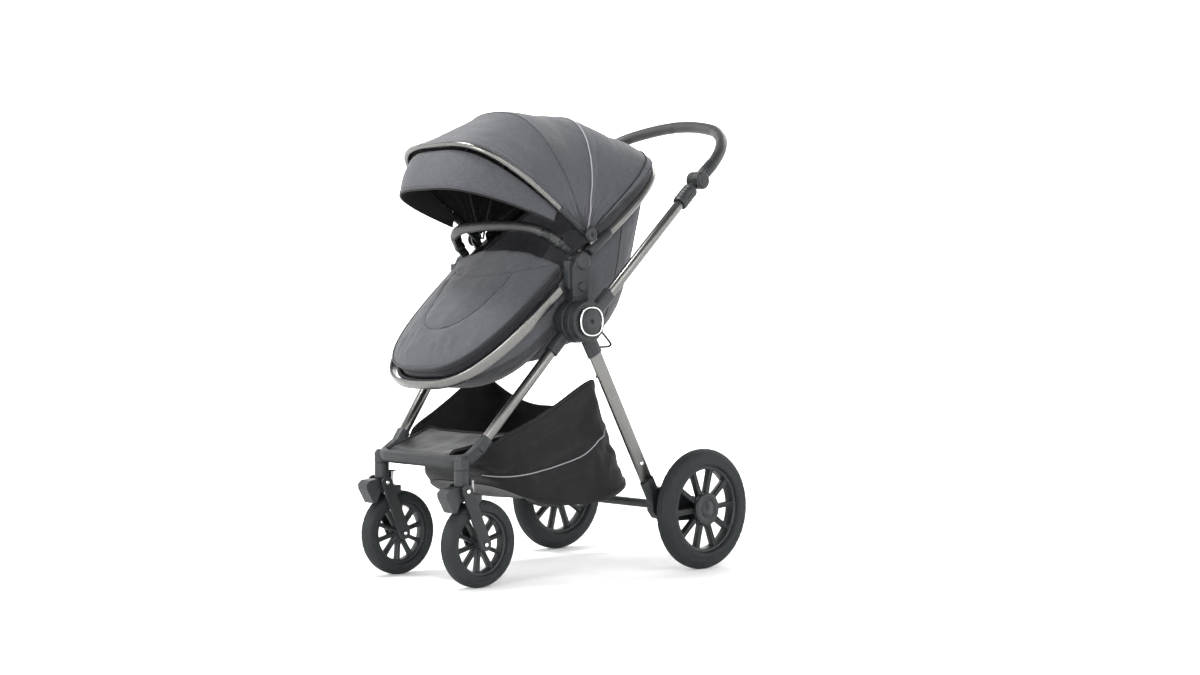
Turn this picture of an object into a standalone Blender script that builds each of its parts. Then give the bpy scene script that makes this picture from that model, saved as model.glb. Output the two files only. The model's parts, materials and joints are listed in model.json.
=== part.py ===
"""Folding baby stroller with a reclining seat, a canopy and a leg cover.

Metres, +Z up, the stroller faces -Y and its left side is +X. In the code, places are given as
(across, back, up): back is measured from the front axle, and at() moves them to the part's frame,
whose origin is on the floor under the middle of the stroller.
"""
import math

import bmesh
import bpy
import numpy
from mathutils import Matrix, Vector

# ---------------------------------------------------------------- driving dimensions
AXLE_Y = -0.3355            # the front axle's place in the part's frame
WHEELBASE = 0.585
REAR_TRACK = 0.509
FRONT_TRACK = 0.289
REAR_RADIUS = 0.140
FRONT_RADIUS = 0.096
GAP = 0.0004                # left between faces that touch

HUB = (0.231, 0.578)        # main fold axis, (back, up)
SEAT_PIVOT = (0.246, 0.713)
CANOPY_PIVOT = (0.276, 0.772)
TILT_PIVOT = (0.578, 0.904)
CROSSTUBE = (0.470, 0.155)  # tube between the rear legs' feet
CASTOR = (0.1445, -0.045)   # castor axis, (across, back)
FORK_PIVOT = (-0.050, 0.2146)

TUBE_RADIUS = 0.012
SLEEVE_RADIUS = 0.0155
LEG_TOP = (0.200, HUB[0], HUB[1])
LEG_FOOT = (0.146, 0.005, 0.305)
HANDLE_X = 0.2455           # handle tube centre
REAR_LEG_X = 0.2232

# layers of the folding hub, from the seat outwards
CORE_X = (0.1860, 0.2140)
REAR_LEAF_X = (0.2145, 0.2320)
HANDLE_LEAF_X = (0.2325, 0.2520)
CAP_X = (0.2524, 0.2585)
HUB_RADIUS = 0.046

# seat loops, each in a plane through the X direction: (start back, start up, slope angle, half width, length)
FOOT_LOOP = (0.200, 0.655, math.radians(-139.0), 0.200, 0.330)
BOOT_LOOP = (0.200, 0.702, math.radians(-138.5), 0.183, 0.342)
HEAD_LOOP = (SEAT_PIVOT[0], SEAT_PIVOT[1], math.radians(36.0), 0.2015, 0.406)

# canopy arches, fanned about the canopy pivot: slope angle -> crown radius
ARCHES = ((34.0, 0.348), (56.0, 0.295), (78.0, 0.285), (95.0, 0.287), (112.0, 0.301), (145.0, 0.343))
BOW_ANGLE = 145.0
MID_BOW_ANGLE = 112.0
REAR_BOW_ANGLE = 78.0
CANOPY_HALF_WIDTH = 0.191


# ---------------------------------------------------------------- small helpers
def at(across, back, up):
    return Vector((across, back + AXLE_Y, up))


def finish_look(name, colour, roughness, metallic=0.0):
    look = bpy.data.materials.new(name)
    look.use_nodes = True
    shader = look.node_tree.nodes["Principled BSDF"]
    shader.inputs["Base Color"].default_value = (*colour, 1.0)
    shader.inputs["Roughness"].default_value = roughness
    shader.inputs["Metallic"].default_value = metallic
    return look


def place(name, body, look, pivot=None):
    """Link a closed bmesh as an object whose origin is its joint's axis."""
    pivot = pivot or Vector()
    bmesh.ops.recalc_face_normals(body, faces=body.faces)
    bmesh.ops.translate(body, verts=body.verts, vec=-pivot)
    mesh = bpy.data.meshes.new(name)
    body.to_mesh(mesh)
    body.free()
    mesh.materials.append(look)
    mesh.shade_smooth()
    mesh.set_sharp_from_angle(angle=math.radians(35))
    piece = bpy.data.objects.new(name, mesh)
    piece.location = pivot
    bpy.context.collection.objects.link(piece)
    return piece


def merge(first, *others, operation="UNION"):
    """Boolean of closed bmeshes, as one bmesh."""
    pieces = []
    for number, body in enumerate((first, *others)):
        bmesh.ops.recalc_face_normals(body, faces=body.faces)
        mesh = bpy.data.meshes.new(f"blank_{number}")
        body.to_mesh(mesh)
        body.free()
        pieces.append(bpy.data.objects.new(f"blank_{number}", mesh))
        bpy.context.collection.objects.link(pieces[-1])
    for tool in pieces[1:]:
        cut = pieces[0].modifiers.new("boolean", "BOOLEAN")
        cut.operation, cut.solver, cut.object = operation, "EXACT", tool
    bpy.context.view_layer.update()
    graph = bpy.context.evaluated_depsgraph_get()
    result = bmesh.new()
    result.from_object(pieces[0], graph)
    for piece in pieces:
        bpy.data.objects.remove(piece, do_unlink=True)
    bmesh.ops.remove_doubles(result, verts=result.verts, dist=1e-6)
    bmesh.ops.dissolve_degenerate(result, dist=1e-6, edges=result.edges)
    return result


def circle(radius, sides, turn=0.0):
    return [(radius * math.cos(turn + math.tau * i / sides), radius * math.sin(turn + math.tau * i / sides))
            for i in range(sides)]


def oval(half_side, half_up, sides=12, power=2.6):
    """Superellipse section."""
    points = []
    for i in range(sides):
        angle = math.tau * (i + 0.5) / sides
        c, s = math.cos(angle), math.sin(angle)
        points.append((half_side * math.copysign(abs(c) ** (2 / power), c),
                       half_up * math.copysign(abs(s) ** (2 / power), s)))
    return points


def smooth(points, steps=4):
    """Catmull-Rom curve through the points."""
    points = [Vector(p) for p in points]
    ends = [2 * points[0] - points[1], *points, 2 * points[-1] - points[-2]]
    path = []
    for i in range(1, len(ends) - 2):
        a, b, c, d = ends[i - 1:i + 3]
        for step in range(steps):
            t = step / steps
            path.append(0.5 * (2 * b + (c - a) * t + (2 * a - 5 * b + 4 * c - d) * t * t
                               + (3 * b - a - 3 * c + d) * t ** 3))
    return path + [points[-1]]


def mirrored(points):
    """A path from +X to the middle plane, carried on to -X."""
    return list(points) + [Vector((-p[0], p[1], p[2])) for p in reversed(points[:-1])]


def sweep(path, section, side=Vector((1, 0, 0))):
    """Closed bar along a path; section points are (along side, across side)."""
    body, rings = bmesh.new(), []
    for i, point in enumerate(path):
        tangent = (path[min(i + 1, len(path) - 1)] - path[max(i - 1, 0)]).normalized()
        side = (side - tangent * side.dot(tangent)).normalized()
        across = tangent.cross(side)
        rings.append([body.verts.new(point + side * a + across * b) for a, b in section])
    bridge(body, rings)
    body.faces.new(rings[0])
    body.faces.new(list(reversed(rings[-1])))
    return body


def bridge(body, rings, closed=False):
    pairs = list(zip(rings, rings[1:])) + ([(rings[-1], rings[0])] if closed else [])
    for one, two in pairs:
        for i in range(len(one)):
            j = (i + 1) % len(one)
            body.faces.new((one[i], two[i], two[j], one[j]))


def turned(profile, centre, segments, axis="X", turn=0.0, ring=True):
    """Solid of revolution. profile is (radius, along); a ring closes on itself, else its ends are capped."""
    body, rings = bmesh.new(), []
    for step in range(segments):
        angle = turn + math.tau * step / segments
        c, s = math.cos(angle), math.sin(angle)
        spot = []
        for radius, along in profile:
            offset = (along, radius * c, radius * s) if axis == "X" else (radius * c, radius * s, along)
            spot.append(body.verts.new(centre + Vector(offset)))
        rings.append(spot)
    count = len(profile)
    for i in range(segments):
        one, two = rings[i], rings[(i + 1) % segments]
        for j in range(count if ring else count - 1):
            k = (j + 1) % count
            body.faces.new((one[j], one[k], two[k], two[j]))
    if not ring:
        body.faces.new([r[0] for r in rings])
        body.faces.new([r[-1] for r in reversed(rings)])
    return body


def disc(side, span, centre, radius, sides=24, edge=0.0015):
    """Bevelled round plate across the stroller, on the left (side 1) or the right (side -1)."""
    near, far = span
    profile = ((radius - edge, near), (radius, near + edge), (radius, far - edge), (radius - edge, far))
    profile = [(r, side * x) for r, x in profile]
    return turned(profile, at(0, *centre), sides, turn=math.pi / sides, ring=False)


def plate(side, span, outline):
    """Prism across the stroller from an outline of (back, up) points."""
    body = bmesh.new()
    near, far = ([body.verts.new(at(side * x, back, up)) for back, up in outline] for x in span)
    bridge(body, [near, far])
    body.faces.new(near)
    body.faces.new(list(reversed(far)))
    return body


def pill(start, end, radius_start, radius_end, steps=6):
    """Outline round two circles, for levers and blades."""
    (y0, z0), (y1, z1) = start, end
    heading = math.atan2(z1 - z0, y1 - y0)
    lean = math.asin((radius_start - radius_end) / math.hypot(y1 - y0, z1 - z0))
    points = []
    for (y, z), radius, first, last in (
            (end, radius_end, heading - math.pi / 2 + lean, heading + math.pi / 2 - lean),
            (start, radius_start, heading + math.pi / 2 - lean, heading + 3 * math.pi / 2 + lean)):
        for i in range(steps + 1):
            angle = first + (last - first) * i / steps
            points.append((y + radius * math.cos(angle), z + radius * math.sin(angle)))
    return points


def along(start, end, share):
    return Vector(start).lerp(Vector(end), share)


def on_hub(angle, distance, across, up_shift=0.0):
    """Point at a distance from the hub axis along a direction in the side plane."""
    return at(across, HUB[0] + distance * math.cos(angle) - up_shift * math.sin(angle),
              HUB[1] + distance * math.sin(angle) + up_shift * math.cos(angle))


HANDLE_ANGLE = math.atan2(TILT_PIVOT[1] - HUB[1], TILT_PIVOT[0] - HUB[0])
HANDLE_LENGTH = math.hypot(TILT_PIVOT[1] - HUB[1], TILT_PIVOT[0] - HUB[0])
REAR_LEG_ANGLE = math.atan2(CROSSTUBE[1] - HUB[1], CROSSTUBE[0] + 0.003 - HUB[0])
SIDES = (("left", 1), ("right", -1))


# ---------------------------------------------------------------- chassis
def frame_hub(name, side, look):
    """Core of the folding hub, with the front leg's sleeve and the seat adapter's socket."""
    core = disc(side, CORE_X, HUB, HUB_RADIUS + 0.002)
    top, foot = (at(side * p[0], p[1], p[2]) for p in (LEG_TOP, LEG_FOOT))
    sleeve = sweep([along(top, foot, 0.02), along(top, foot, 0.25)], circle(SLEEVE_RADIUS, 16))
    socket = plate(side, (0.1925, 0.2135), ((0.212, 0.590), (0.264, 0.590), (0.262, 0.632), (0.216, 0.632)))
    place(name, merge(core, sleeve, socket), look)


def front_leg(name, side, look):
    top, foot = (at(side * p[0], p[1], p[2]) for p in (LEG_TOP, LEG_FOOT))
    path = [along(top, foot, 0.25 + 0.0012), along(top, foot, 0.93 - 0.0012)]
    place(name, sweep(path, circle(TUBE_RADIUS, 16)), look)


def front_crossbar(look):
    """Moulded bar that joins the front legs' feet and carries the castors."""
    half = smooth([(0.146, 0.000 + AXLE_Y, 0.300), (0.1455, -0.030 + AXLE_Y, 0.281),
                   (0.125, -0.051 + AXLE_Y, 0.276), (0.085, -0.056 + AXLE_Y, 0.275),
                   (0.000, -0.057 + AXLE_Y, 0.275)], 2)
    bar = sweep(mirrored(half), oval(0.0115, 0.0145, 10), side=Vector((0, 0.6, 0.8)).cross(Vector((0, -1, 0))))
    extras = []
    for _, side in SIDES:
        top, foot = (at(side * p[0], p[1], p[2]) for p in (LEG_TOP, LEG_FOOT))
        extras.append(sweep([along(top, foot, 0.93), along(top, foot, 1.02)], circle(SLEEVE_RADIUS, 14)))
        boss = [(0.0170, 0.2590), (0.0170, 0.2800), (0.0120, 0.2880)]
        extras.append(turned(boss, at(side * CASTOR[0], CASTOR[1], 0), 16, axis="Z", ring=False))
    place("front_crossbar", merge(bar, *extras), look)


def castor_housing(name, side, look):
    """Bearing housing under the crossbar; the castor's stem turns in its bore."""
    profile = ((0.0072, 0.2226), (0.0150, 0.2226), (0.0165, 0.2245), (0.0165, 0.2570), (0.0155, 0.2586),
               (0.0072, 0.2586))
    place(name, turned(profile, at(side * CASTOR[0], CASTOR[1], 0), 20, axis="Z"), look)


def castor_knuckle(name, side, look):
    """Swivelling knuckle with its stem, front cover, fork bore and spring perch."""
    centre = at(side * CASTOR[0], CASTOR[1], 0)
    outline = ((-0.064, 0.2222), (-0.031, 0.2222), (-0.026, 0.2100), (-0.036, 0.1960), (-0.062, 0.1900),
               (-0.071, 0.1690), (-0.080, 0.1680), (-0.0985, 0.2000), (-0.1000, 0.2110), (-0.090, 0.2200))
    x = CASTOR[0]
    block = plate(side, (x - 0.017, x + 0.017), outline)
    stem = turned([(0.0064, 0.2150), (0.0064, 0.2560), (0.0050, 0.2575)], centre, 14, axis="Z", ring=False)
    perch_post = plate(side, (x - 0.008, x + 0.008), ((-0.0340, 0.214), (-0.0240, 0.214), (-0.0240, 0.2400),
                                                      (-0.0272, 0.2400), (-0.0272, 0.2222), (-0.0340, 0.2222)))
    perch = plate(side, (x - 0.008, x + 0.008), ((-0.0272, 0.2366), (-0.0110, 0.2366), (-0.0110, 0.2396),
                                                 (-0.0272, 0.2396)))
    body = merge(block, stem, perch_post, perch)
    bore = turned([(0.0048, -0.03), (0.0048, 0.03)], at(side * x, *FORK_PIVOT), 12, ring=False)
    place(name, merge(body, bore, operation="DIFFERENCE"), look, centre)


def suspension_spring(name, side, look):
    profile = [(0.0055, 0.2070), (0.0055, 0.2362)]
    place(name, turned(profile, at(side * CASTOR[0], -0.0172, 0), 12, axis="Z", ring=False), look)


def front_fork(name, side, look):
    """Two blades, bridge, pivot bolt and wheel axle; it rocks on the knuckle."""
    x = CASTOR[0]
    blade_outline = pill(FORK_PIVOT, (0.0, FRONT_RADIUS), 0.0135, 0.0145)
    blades = [plate(side, span, blade_outline) for span in ((x - 0.0285, x - 0.0225), (x + 0.0225, x + 0.0285))]
    bridge_piece = plate(side, (x - 0.024, x + 0.024), ((-0.0225, 0.1985), (-0.0115, 0.1985), (-0.0115, 0.2066),
                                                        (-0.0225, 0.2066)))
    bolt = turned([(0.0042, -0.0300), (0.0042, 0.0300)], at(side * x, *FORK_PIVOT), 12, ring=False)
    axle = turned([(0.0042, -0.0305), (0.0042, 0.0305)], at(side * x, 0, FRONT_RADIUS), 12, ring=False)
    web = [plate(side, span, ((-0.050, 0.2065), (-0.012, 0.2065), (-0.012, 0.192), (-0.030, 0.180)))
           for span in ((x - 0.0285, x - 0.0225), (x + 0.0225, x + 0.0285))]
    place(name, merge(blades[0], blades[1], *web, bridge_piece, bolt, axle), look, at(side * x, *FORK_PIVOT))


# ---------------------------------------------------------------- wheels
def wheel_turn(segments):
    """Puts the middle of a facet at the bottom, so a wheel stands on a flat."""
    return -math.pi / 2 + math.pi / segments


def tyre(name, side, centre, radius, seat, half_width, look, segments):
    """Solid tyre; its facets' middles lie on the rolling radius."""
    tread = radius / math.cos(math.pi / segments)
    depth = tread - seat
    profile = [(seat, -0.68 * half_width), (seat + 0.40 * depth, -half_width),
               (seat + 0.80 * depth, -0.84 * half_width), (tread, -0.42 * half_width)]
    profile += [(r, -x) for r, x in reversed(profile)]
    place(name, turned(profile, centre, segments, turn=wheel_turn(segments)), look, centre)


def rim(name, side, centre, seat, inner, half_width, hub, bore, spoke, first_spoke, look, segments, spokes=10):
    """Moulded rim: band, spokes and hub with its bore. hub is (radius, near x, far x), spoke (width, near, far)."""
    band = turned([(inner, -half_width), (seat, -half_width), (seat, half_width), (inner, half_width)],
                  centre, segments, turn=wheel_turn(segments))
    hub_radius, near, far = hub
    boss = turned([(hub_radius, side * near), (hub_radius, side * far)], centre, 14, ring=False)
    width, spoke_near, spoke_far = spoke
    arms = []
    reach = (inner + seat) / 2
    for i in range(spokes):
        angle = math.radians(first_spoke) + math.tau * i / spokes
        out = Vector((0, math.cos(angle), math.sin(angle)))
        flank = Vector((0, -math.sin(angle), math.cos(angle))) * width / 2
        arm = bmesh.new()
        ends = []
        for distance in (hub_radius * 0.5, reach):
            base = centre + out * distance
            ends.append([arm.verts.new(base + flank * a + Vector((side * x, 0, 0)))
                         for a, x in ((-1, spoke_near), (1, spoke_near), (1, spoke_far), (-1, spoke_far))])
        bridge(arm, ends)
        arm.faces.new(ends[0])
        arm.faces.new(list(reversed(ends[1])))
        arms.append(arm)
    body = merge(band, boss, *arms)
    drill = turned([(bore, -0.06), (bore, 0.06)], centre, 12, ring=False)
    place(name, merge(body, drill, operation="DIFFERENCE"), look, centre)


# ---------------------------------------------------------------- rear frame
def rear_leg_joint(name, side, look):
    """Leaf of the hub that carries the rear leg."""
    leaf = disc(side, REAR_LEAF_X, HUB, HUB_RADIUS)
    path = [on_hub(REAR_LEG_ANGLE, d, side * REAR_LEG_X) for d in (0.020, 0.085)]
    sleeve = sweep(path, oval(0.0086, 0.0205))
    place(name, merge(leaf, sleeve), look, at(0, *HUB))


def rear_leg(name, side, look):
    path = [on_hub(REAR_LEG_ANGLE, 0.0854, side * REAR_LEG_X), on_hub(REAR_LEG_ANGLE, 0.4196, side * 0.2175)]
    place(name, sweep(path, oval(0.0078, 0.0165, 14, 3.0)), look, at(0, *HUB))


def rear_bracket(name, side, look):
    """Foot of the rear leg, which reaches back to the wheel's stub axle."""
    socket = sweep([on_hub(REAR_LEG_ANGLE, 0.4200, side * 0.2175), on_hub(REAR_LEG_ANGLE, 0.475, side * 0.2170)],
                   oval(0.0105, 0.0195))
    arm = plate(side, (0.2080, 0.2280), ((0.446, 0.190), (0.452, 0.140), (0.466, 0.124), (0.500, 0.114),
                                         (0.585, 0.112), (0.605, 0.122), (0.613, 0.140), (0.605, 0.158),
                                         (0.585, 0.168), (0.520, 0.176), (0.482, 0.196)))
    stub = turned([(0.0058, side * 0.2200), (0.0058, side * 0.2700)], at(0, WHEELBASE, REAR_RADIUS), 12,
                  ring=False)
    place(name, merge(socket, arm, stub), look, at(0, *HUB))


def rear_axle(look):
    half = 0.2065
    bar = turned([(0.0100, -half), (0.0100, half)], at(0, *CROSSTUBE), 16, turn=math.pi / 16, ring=False)
    place("rear_axle", bar, look, at(0, *HUB))


def brake_pedal(look):
    """Foot pedal that turns on the cross tube."""
    back, up = CROSSTUBE
    collar = turned([(0.0108, -0.175), (0.0150, -0.175), (0.0150, -0.105), (0.0108, -0.105)],
                    at(0, back, up), 20, turn=math.pi / 16)
    paddle = plate(-1, (0.112, 0.168), ((back + 0.012, up + 0.006), (back + 0.060, up + 0.004),
                                        (back + 0.082, up - 0.004), (back + 0.080, up - 0.012),
                                        (back + 0.058, up - 0.006), (back + 0.012, up - 0.006)))
    place("brake_pedal", merge(collar, paddle), look, at(0, back, up))


# ---------------------------------------------------------------- handle
def handle_joint(name, side, look):
    """Outer leaf of the hub, with the handle tube's sleeve."""
    leaf = disc(side, HANDLE_LEAF_X, HUB, HUB_RADIUS)
    x = side * (HANDLE_X - 0.0012)
    sleeve = sweep([on_hub(HANDLE_ANGLE, 0.0355, x), on_hub(HANDLE_ANGLE, 0.092, x)], oval(0.0108, 0.0165, 14))
    place(name, merge(leaf, sleeve), look, at(0, *HUB))


def hub_cap(name, side, look):
    near, far = CAP_X
    profile = [(0.0335, near), (0.0335, far - 0.0015), (0.0300, far)]
    profile = [(r, side * x) for r, x in profile]
    place(name, turned(profile, at(0, *HUB), 24, ring=False), look, at(0, *HUB))


def handle_tube(name, side, look):
    path = [on_hub(HANDLE_ANGLE, d, side * HANDLE_X) for d in (0.0924, HANDLE_LENGTH - 0.0225)]
    place(name, sweep(path, circle(TUBE_RADIUS, 16)), look, at(0, *HUB))


def tilt_housing(name, side, look):
    """Inner half of the handlebar's tilt joint, on the handle tube's end."""
    core = disc(side, (0.2265, 0.2440), TILT_PIVOT, 0.0205, 20)
    end = (TILT_PIVOT[0] - 0.0136 * math.cos(HANDLE_ANGLE), TILT_PIVOT[1] - 0.0136 * math.sin(HANDLE_ANGLE))
    neck = plate(side, (0.2365, 0.2440), pill(TILT_PIVOT, end, 0.0105, 0.0085))
    place(name, merge(core, neck), look, at(0, *HUB))


def fold_trigger(name, side, look):
    """Ribbed sleeve that slides up the handle tube to unlock the fold."""
    start, end = HANDLE_LENGTH - 0.083, HANDLE_LENGTH - 0.031
    ribs = 4
    body, rings = bmesh.new(), []
    profile = [(0.0130, 0.0), (0.0170, 0.0)]
    for i in range(ribs):
        base = 0.008 + i * 0.009
        profile += [(0.0182, base), (0.0182, base + 0.004), (0.0172, base + 0.0055)]
    profile += [(0.0182, end - start - 0.004), (0.0165, end - start), (0.0130, end - start)]
    out = Vector((0, math.cos(HANDLE_ANGLE), math.sin(HANDLE_ANGLE)))
    up = Vector((0, -math.sin(HANDLE_ANGLE), math.cos(HANDLE_ANGLE)))
    origin = on_hub(HANDLE_ANGLE, start, side * HANDLE_X)
    sides = 12
    for radius, distance in profile:
        rings.append([body.verts.new(origin + out * distance + Vector((1, 0, 0)) * a + up * b)
                      for a, b in circle(radius, sides)])
    bridge(body, rings, closed=True)
    place(name, body, look, origin)


def handlebar_path():
    """Grip loop in a plane that leans back from the tilt joint."""
    lean = math.radians(40.0)
    shape = ((HANDLE_X, 0.0235), (HANDLE_X, 0.050), (0.2430, 0.080), (0.2300, 0.120), (0.2020, 0.162),
             (0.1580, 0.198), (0.1050, 0.218), (0.0500, 0.230), (0.0000, 0.2345))
    points = [(x, TILT_PIVOT[0] + AXLE_Y + s * math.cos(lean), TILT_PIVOT[1] + s * math.sin(lean)) for x, s in shape]
    return mirrored(smooth(points, 2))


def handlebar(look):
    loop = sweep(handlebar_path(), circle(0.0135, 12))
    joints = []
    lean = math.radians(40.0)
    for _, side in SIDES:
        joints.append(disc(side, (0.2444, 0.2640), TILT_PIVOT, 0.0210, 20))
        end = (TILT_PIVOT[0] + 0.034 * math.cos(lean), TILT_PIVOT[1] + 0.034 * math.sin(lean))
        joints.append(plate(side, (0.2446, 0.2575), pill(TILT_PIVOT, end, 0.0120, 0.0100)))
    body = merge(loop, *joints)
    pockets = [turned([(0.0098, side * 0.2590), (0.0098, side * 0.2700)], at(0, *TILT_PIVOT), 18, ring=False)
               for _, side in SIDES]
    place("handlebar", merge(body, *pockets, operation="DIFFERENCE"), look, at(0, *TILT_PIVOT))


def tilt_button(name, side, look):
    profile = [(0.0090, side * 0.2625), (0.0090, side * 0.2655), (0.0075, side * 0.2665)]
    place(name, turned(profile, at(0, *TILT_PIVOT), 18, ring=False), look, at(0, *TILT_PIVOT))


# ---------------------------------------------------------------- seat
def loop_point(loop, across, distance, height=0.0):
    """Point of a seat loop's plane; height is measured square to it, upwards."""
    back, up, angle = loop[:3]
    flip = -1 if math.cos(angle) < 0 else 1
    return at(across, back + distance * math.cos(angle) - flip * height * math.sin(angle),
              up + distance * math.sin(angle) + flip * height * math.cos(angle))


def loop_half(loop, power, first=0.0, count=9, height=0.0):
    """Half of a superellipse loop, from its start at +X to its tip in the middle plane."""
    half_width, length = loop[3:]
    points = []
    for i in range(count):
        angle = first + (math.pi / 2 - first) * i / (count - 1)
        x = half_width * max(math.cos(angle), 0.0) ** (2 / power)
        points.append(loop_point(loop, x, length * math.sin(angle) ** (2 / power), height))
    return points


def seat_adapter(name, side, look):
    """Plug-in upright between the folding hub and the seat, with the seat's pivot boss."""
    span = (0.1925, 0.2135)
    post = plate(side, span, ((0.216, 0.6324), (0.262, 0.6324), (0.268, 0.700), (0.2645, 0.722), (0.2275, 0.722),
                              (0.214, 0.700)))
    boss = disc(side, (0.1925, 0.2150), SEAT_PIVOT, 0.0215)
    arm = plate(side, (0.1925, 0.2085), ((0.2065, 0.655), (0.2110, 0.648), (0.232, 0.660), (0.232, 0.710),
                                         (0.2065, 0.712)))
    body = merge(post, boss, arm)
    pocket = turned([(0.0108, side * 0.2085), (0.0108, side * 0.2200)], at(0, 0.2435, 0.655), 18, ring=False)
    place(name, merge(body, pocket, operation="DIFFERENCE"), look)


def adapter_button(name, side, look):
    profile = [(0.0100, side * 0.2115), (0.0100, side * 0.2150), (0.0085, side * 0.2160)]
    place(name, turned(profile, at(0, 0.2435, 0.655), 18, ring=False), look)


def foot_frame(look):
    half = [loop_point(FOOT_LOOP, 0.2000, 0.012)] + loop_half(FOOT_LOOP, 3.0, first=0.25, count=13)
    path = mirrored(half)
    # the strip stands on edge: thin across, broad square to the loop's plane
    place("foot_frame", sweep(path, oval(0.0045, 0.0120, 8, 3.2)), look)


def boat(loop, power, depth_at, stations, around, wall, boxiness):
    """Open trough under a seat loop, as a closed shell. depth_at(distance) gives the keel point's offset."""
    half_width, length = loop[3:]
    outer, inner = [], []
    for share in stations:
        distance = length * share
        half = half_width * max(1 - share ** power, 0.0) ** (1 / power)
        top = loop_point(loop, 0, distance)
        keel = depth_at(distance, share)
        rows = ([], [])
        for i in range(around + 1):
            angle = math.pi * i / around
            c, s = math.cos(angle), math.sin(angle)
            across = math.copysign(abs(c) ** (2 / boxiness), c)
            down = s ** (2 / boxiness)
            for row, shrink in zip(rows, (0.0, wall)):
                scale = 1 - shrink / max(keel.length, 0.02)
                row.append(top + Vector((across * max(half - shrink, 0.004), 0, 0)) + keel * down * scale)
        outer.append(rows[0])
        inner.append(rows[1])
    return outer, inner


def shell(outer, inner):
    """Closed body from two grids that share their edges' layout."""
    body = bmesh.new()
    grids = [[[body.verts.new(p) for p in row] for row in grid] for grid in (outer, inner)]
    rows, columns = len(outer), len(outer[0])
    for i in range(rows - 1):
        for j in range(columns - 1):
            for grid, order in ((grids[0], 1), (grids[1], -1)):
                face = (grid[i][j], grid[i + 1][j], grid[i + 1][j + 1], grid[i][j + 1])
                body.faces.new(face[::order])
    edge = ([(0, j) for j in range(columns)] + [(i, columns - 1) for i in range(1, rows)]
            + [(rows - 1, j) for j in range(columns - 2, -1, -1)] + [(i, 0) for i in range(rows - 2, 0, -1)])
    for (i, j), (k, l) in zip(edge, edge[1:] + edge[:1]):
        body.faces.new((grids[0][i][j], grids[0][k][l], grids[1][k][l], grids[1][i][j]))
    return body


def leg_tub(look):
    """Fabric trough of the leg section, hung in the foot frame."""
    loop = (FOOT_LOOP[0], FOOT_LOOP[1], FOOT_LOOP[2], 0.1835, 0.318)

    def keel(distance, share):
        return Vector((0, 0.01, -1)) * max(0.168 * (1 - share ** 1.8), 0.012)

    stations = [0.02, 0.12, 0.26, 0.42, 0.58, 0.72, 0.84, 0.93, 0.985]
    place("leg_tub", shell(*boat(loop, 3.0, keel, stations, 14, 0.004, 2.4)), look)


def seat_tub(look):
    """Fabric body of the backrest, hung in the head frame."""
    loop = (HEAD_LOOP[0], HEAD_LOOP[1], HEAD_LOOP[2], 0.1832, 0.392)

    def keel(distance, share):
        top = loop_point(loop, 0, distance)
        floor = at(0, 0.257 + 0.500 * distance, 0.512 + 0.115 * distance)
        return (floor - top) * max(1 - share ** 9, 0.0) ** (1 / 5)

    stations = [0.02, 0.16, 0.32, 0.48, 0.64, 0.78, 0.88, 0.95, 0.985]
    place("seat_tub", shell(*boat(loop, 3.0, keel, stations, 14, 0.004, 4.6)), look, at(0, *SEAT_PIVOT))


def seat_pad(look):
    """Plain cushion that leans back inside the tub."""
    foot, head = Vector((0.300, 0.560)), Vector((0.492, 0.800))
    run = (head - foot).normalized()
    middle = (foot + head) / 2
    body, rings = bmesh.new(), []
    for inset, lift in ((0.012, -0.014), (0.0, -0.006), (0.0, 0.006), (0.012, 0.014)):
        ring = []
        for x, s in oval(0.135 - inset, 0.150 - inset, 20, 5.0):
            spot = middle + run * s + Vector((-run.y, run.x)) * lift
            ring.append(body.verts.new(at(x, *spot)))
        rings.append(ring)
    bridge(body, rings)
    body.faces.new(rings[0])
    body.faces.new(list(reversed(rings[-1])))
    place("seat_pad", body, look, at(0, *SEAT_PIVOT))


def head_frame(look):
    """Backrest loop, with its pivot plates and the canopy's clips."""
    half = [loop_point(HEAD_LOOP, 0.2012, 0.036)] + loop_half(HEAD_LOOP, 3.0, first=0.16, count=14)
    tube = sweep(mirrored(half), circle(0.0095, 10))
    extras = []
    foot = (HEAD_LOOP[0] + 0.058 * math.cos(HEAD_LOOP[2]), HEAD_LOOP[1] + 0.058 * math.sin(HEAD_LOOP[2]))
    for _, side in SIDES:
        extras.append(plate(side, (0.1858, 0.1916), pill(SEAT_PIVOT, foot, 0.0180, 0.0120)))
        extras.append(turned([(0.0105, side * 0.1875), (0.0105, side * 0.2045)], at(0, *foot), 14, ring=False))
        extras.append(plate(side, (0.1996, 0.2060), pill(CANOPY_PIVOT, foot, 0.0125, 0.0110)))
    place("head_frame", merge(tube, *extras), look, at(0, *SEAT_PIVOT))


def boot_cover(look):
    """Padded cover over the leg section: crowned across, with a skirt round its edge."""
    half_width, length = BOOT_LOOP[3:]
    around, wall, skirt = 14, 0.009, 0.028
    grids = []
    for inset in (0.0, wall):
        grid = []
        for share in (0.0, 0.14, 0.30, 0.46, 0.62, 0.76, 0.87, 0.94, 0.975, 0.985):
            tip = share > 0.98
            half = half_width * (1 - min(share, 0.975) ** 3.0) ** (1 / 3.0)
            crown = 0.0 if tip else 0.044 * (1 - 0.30 * share) * (1 - share ** 6) ** 0.5
            row = []
            for i in range(around + 1):
                u = 1 - 2 * i / around
                edge = 1.0 if tip or abs(u) > 0.99 else 0.0
                u = math.copysign(min(abs(u) * around / (around - 2), 1.0), u)
                height = crown * (1 - abs(u) ** 2.6) - skirt * edge - inset * (1 - edge)
                row.append(loop_point(BOOT_LOOP, u * (half - inset), length * share - inset * tip, height))
            grid.append(row)
        grids.append(grid)
    place("boot_cover", shell(*grids), look)


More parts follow.
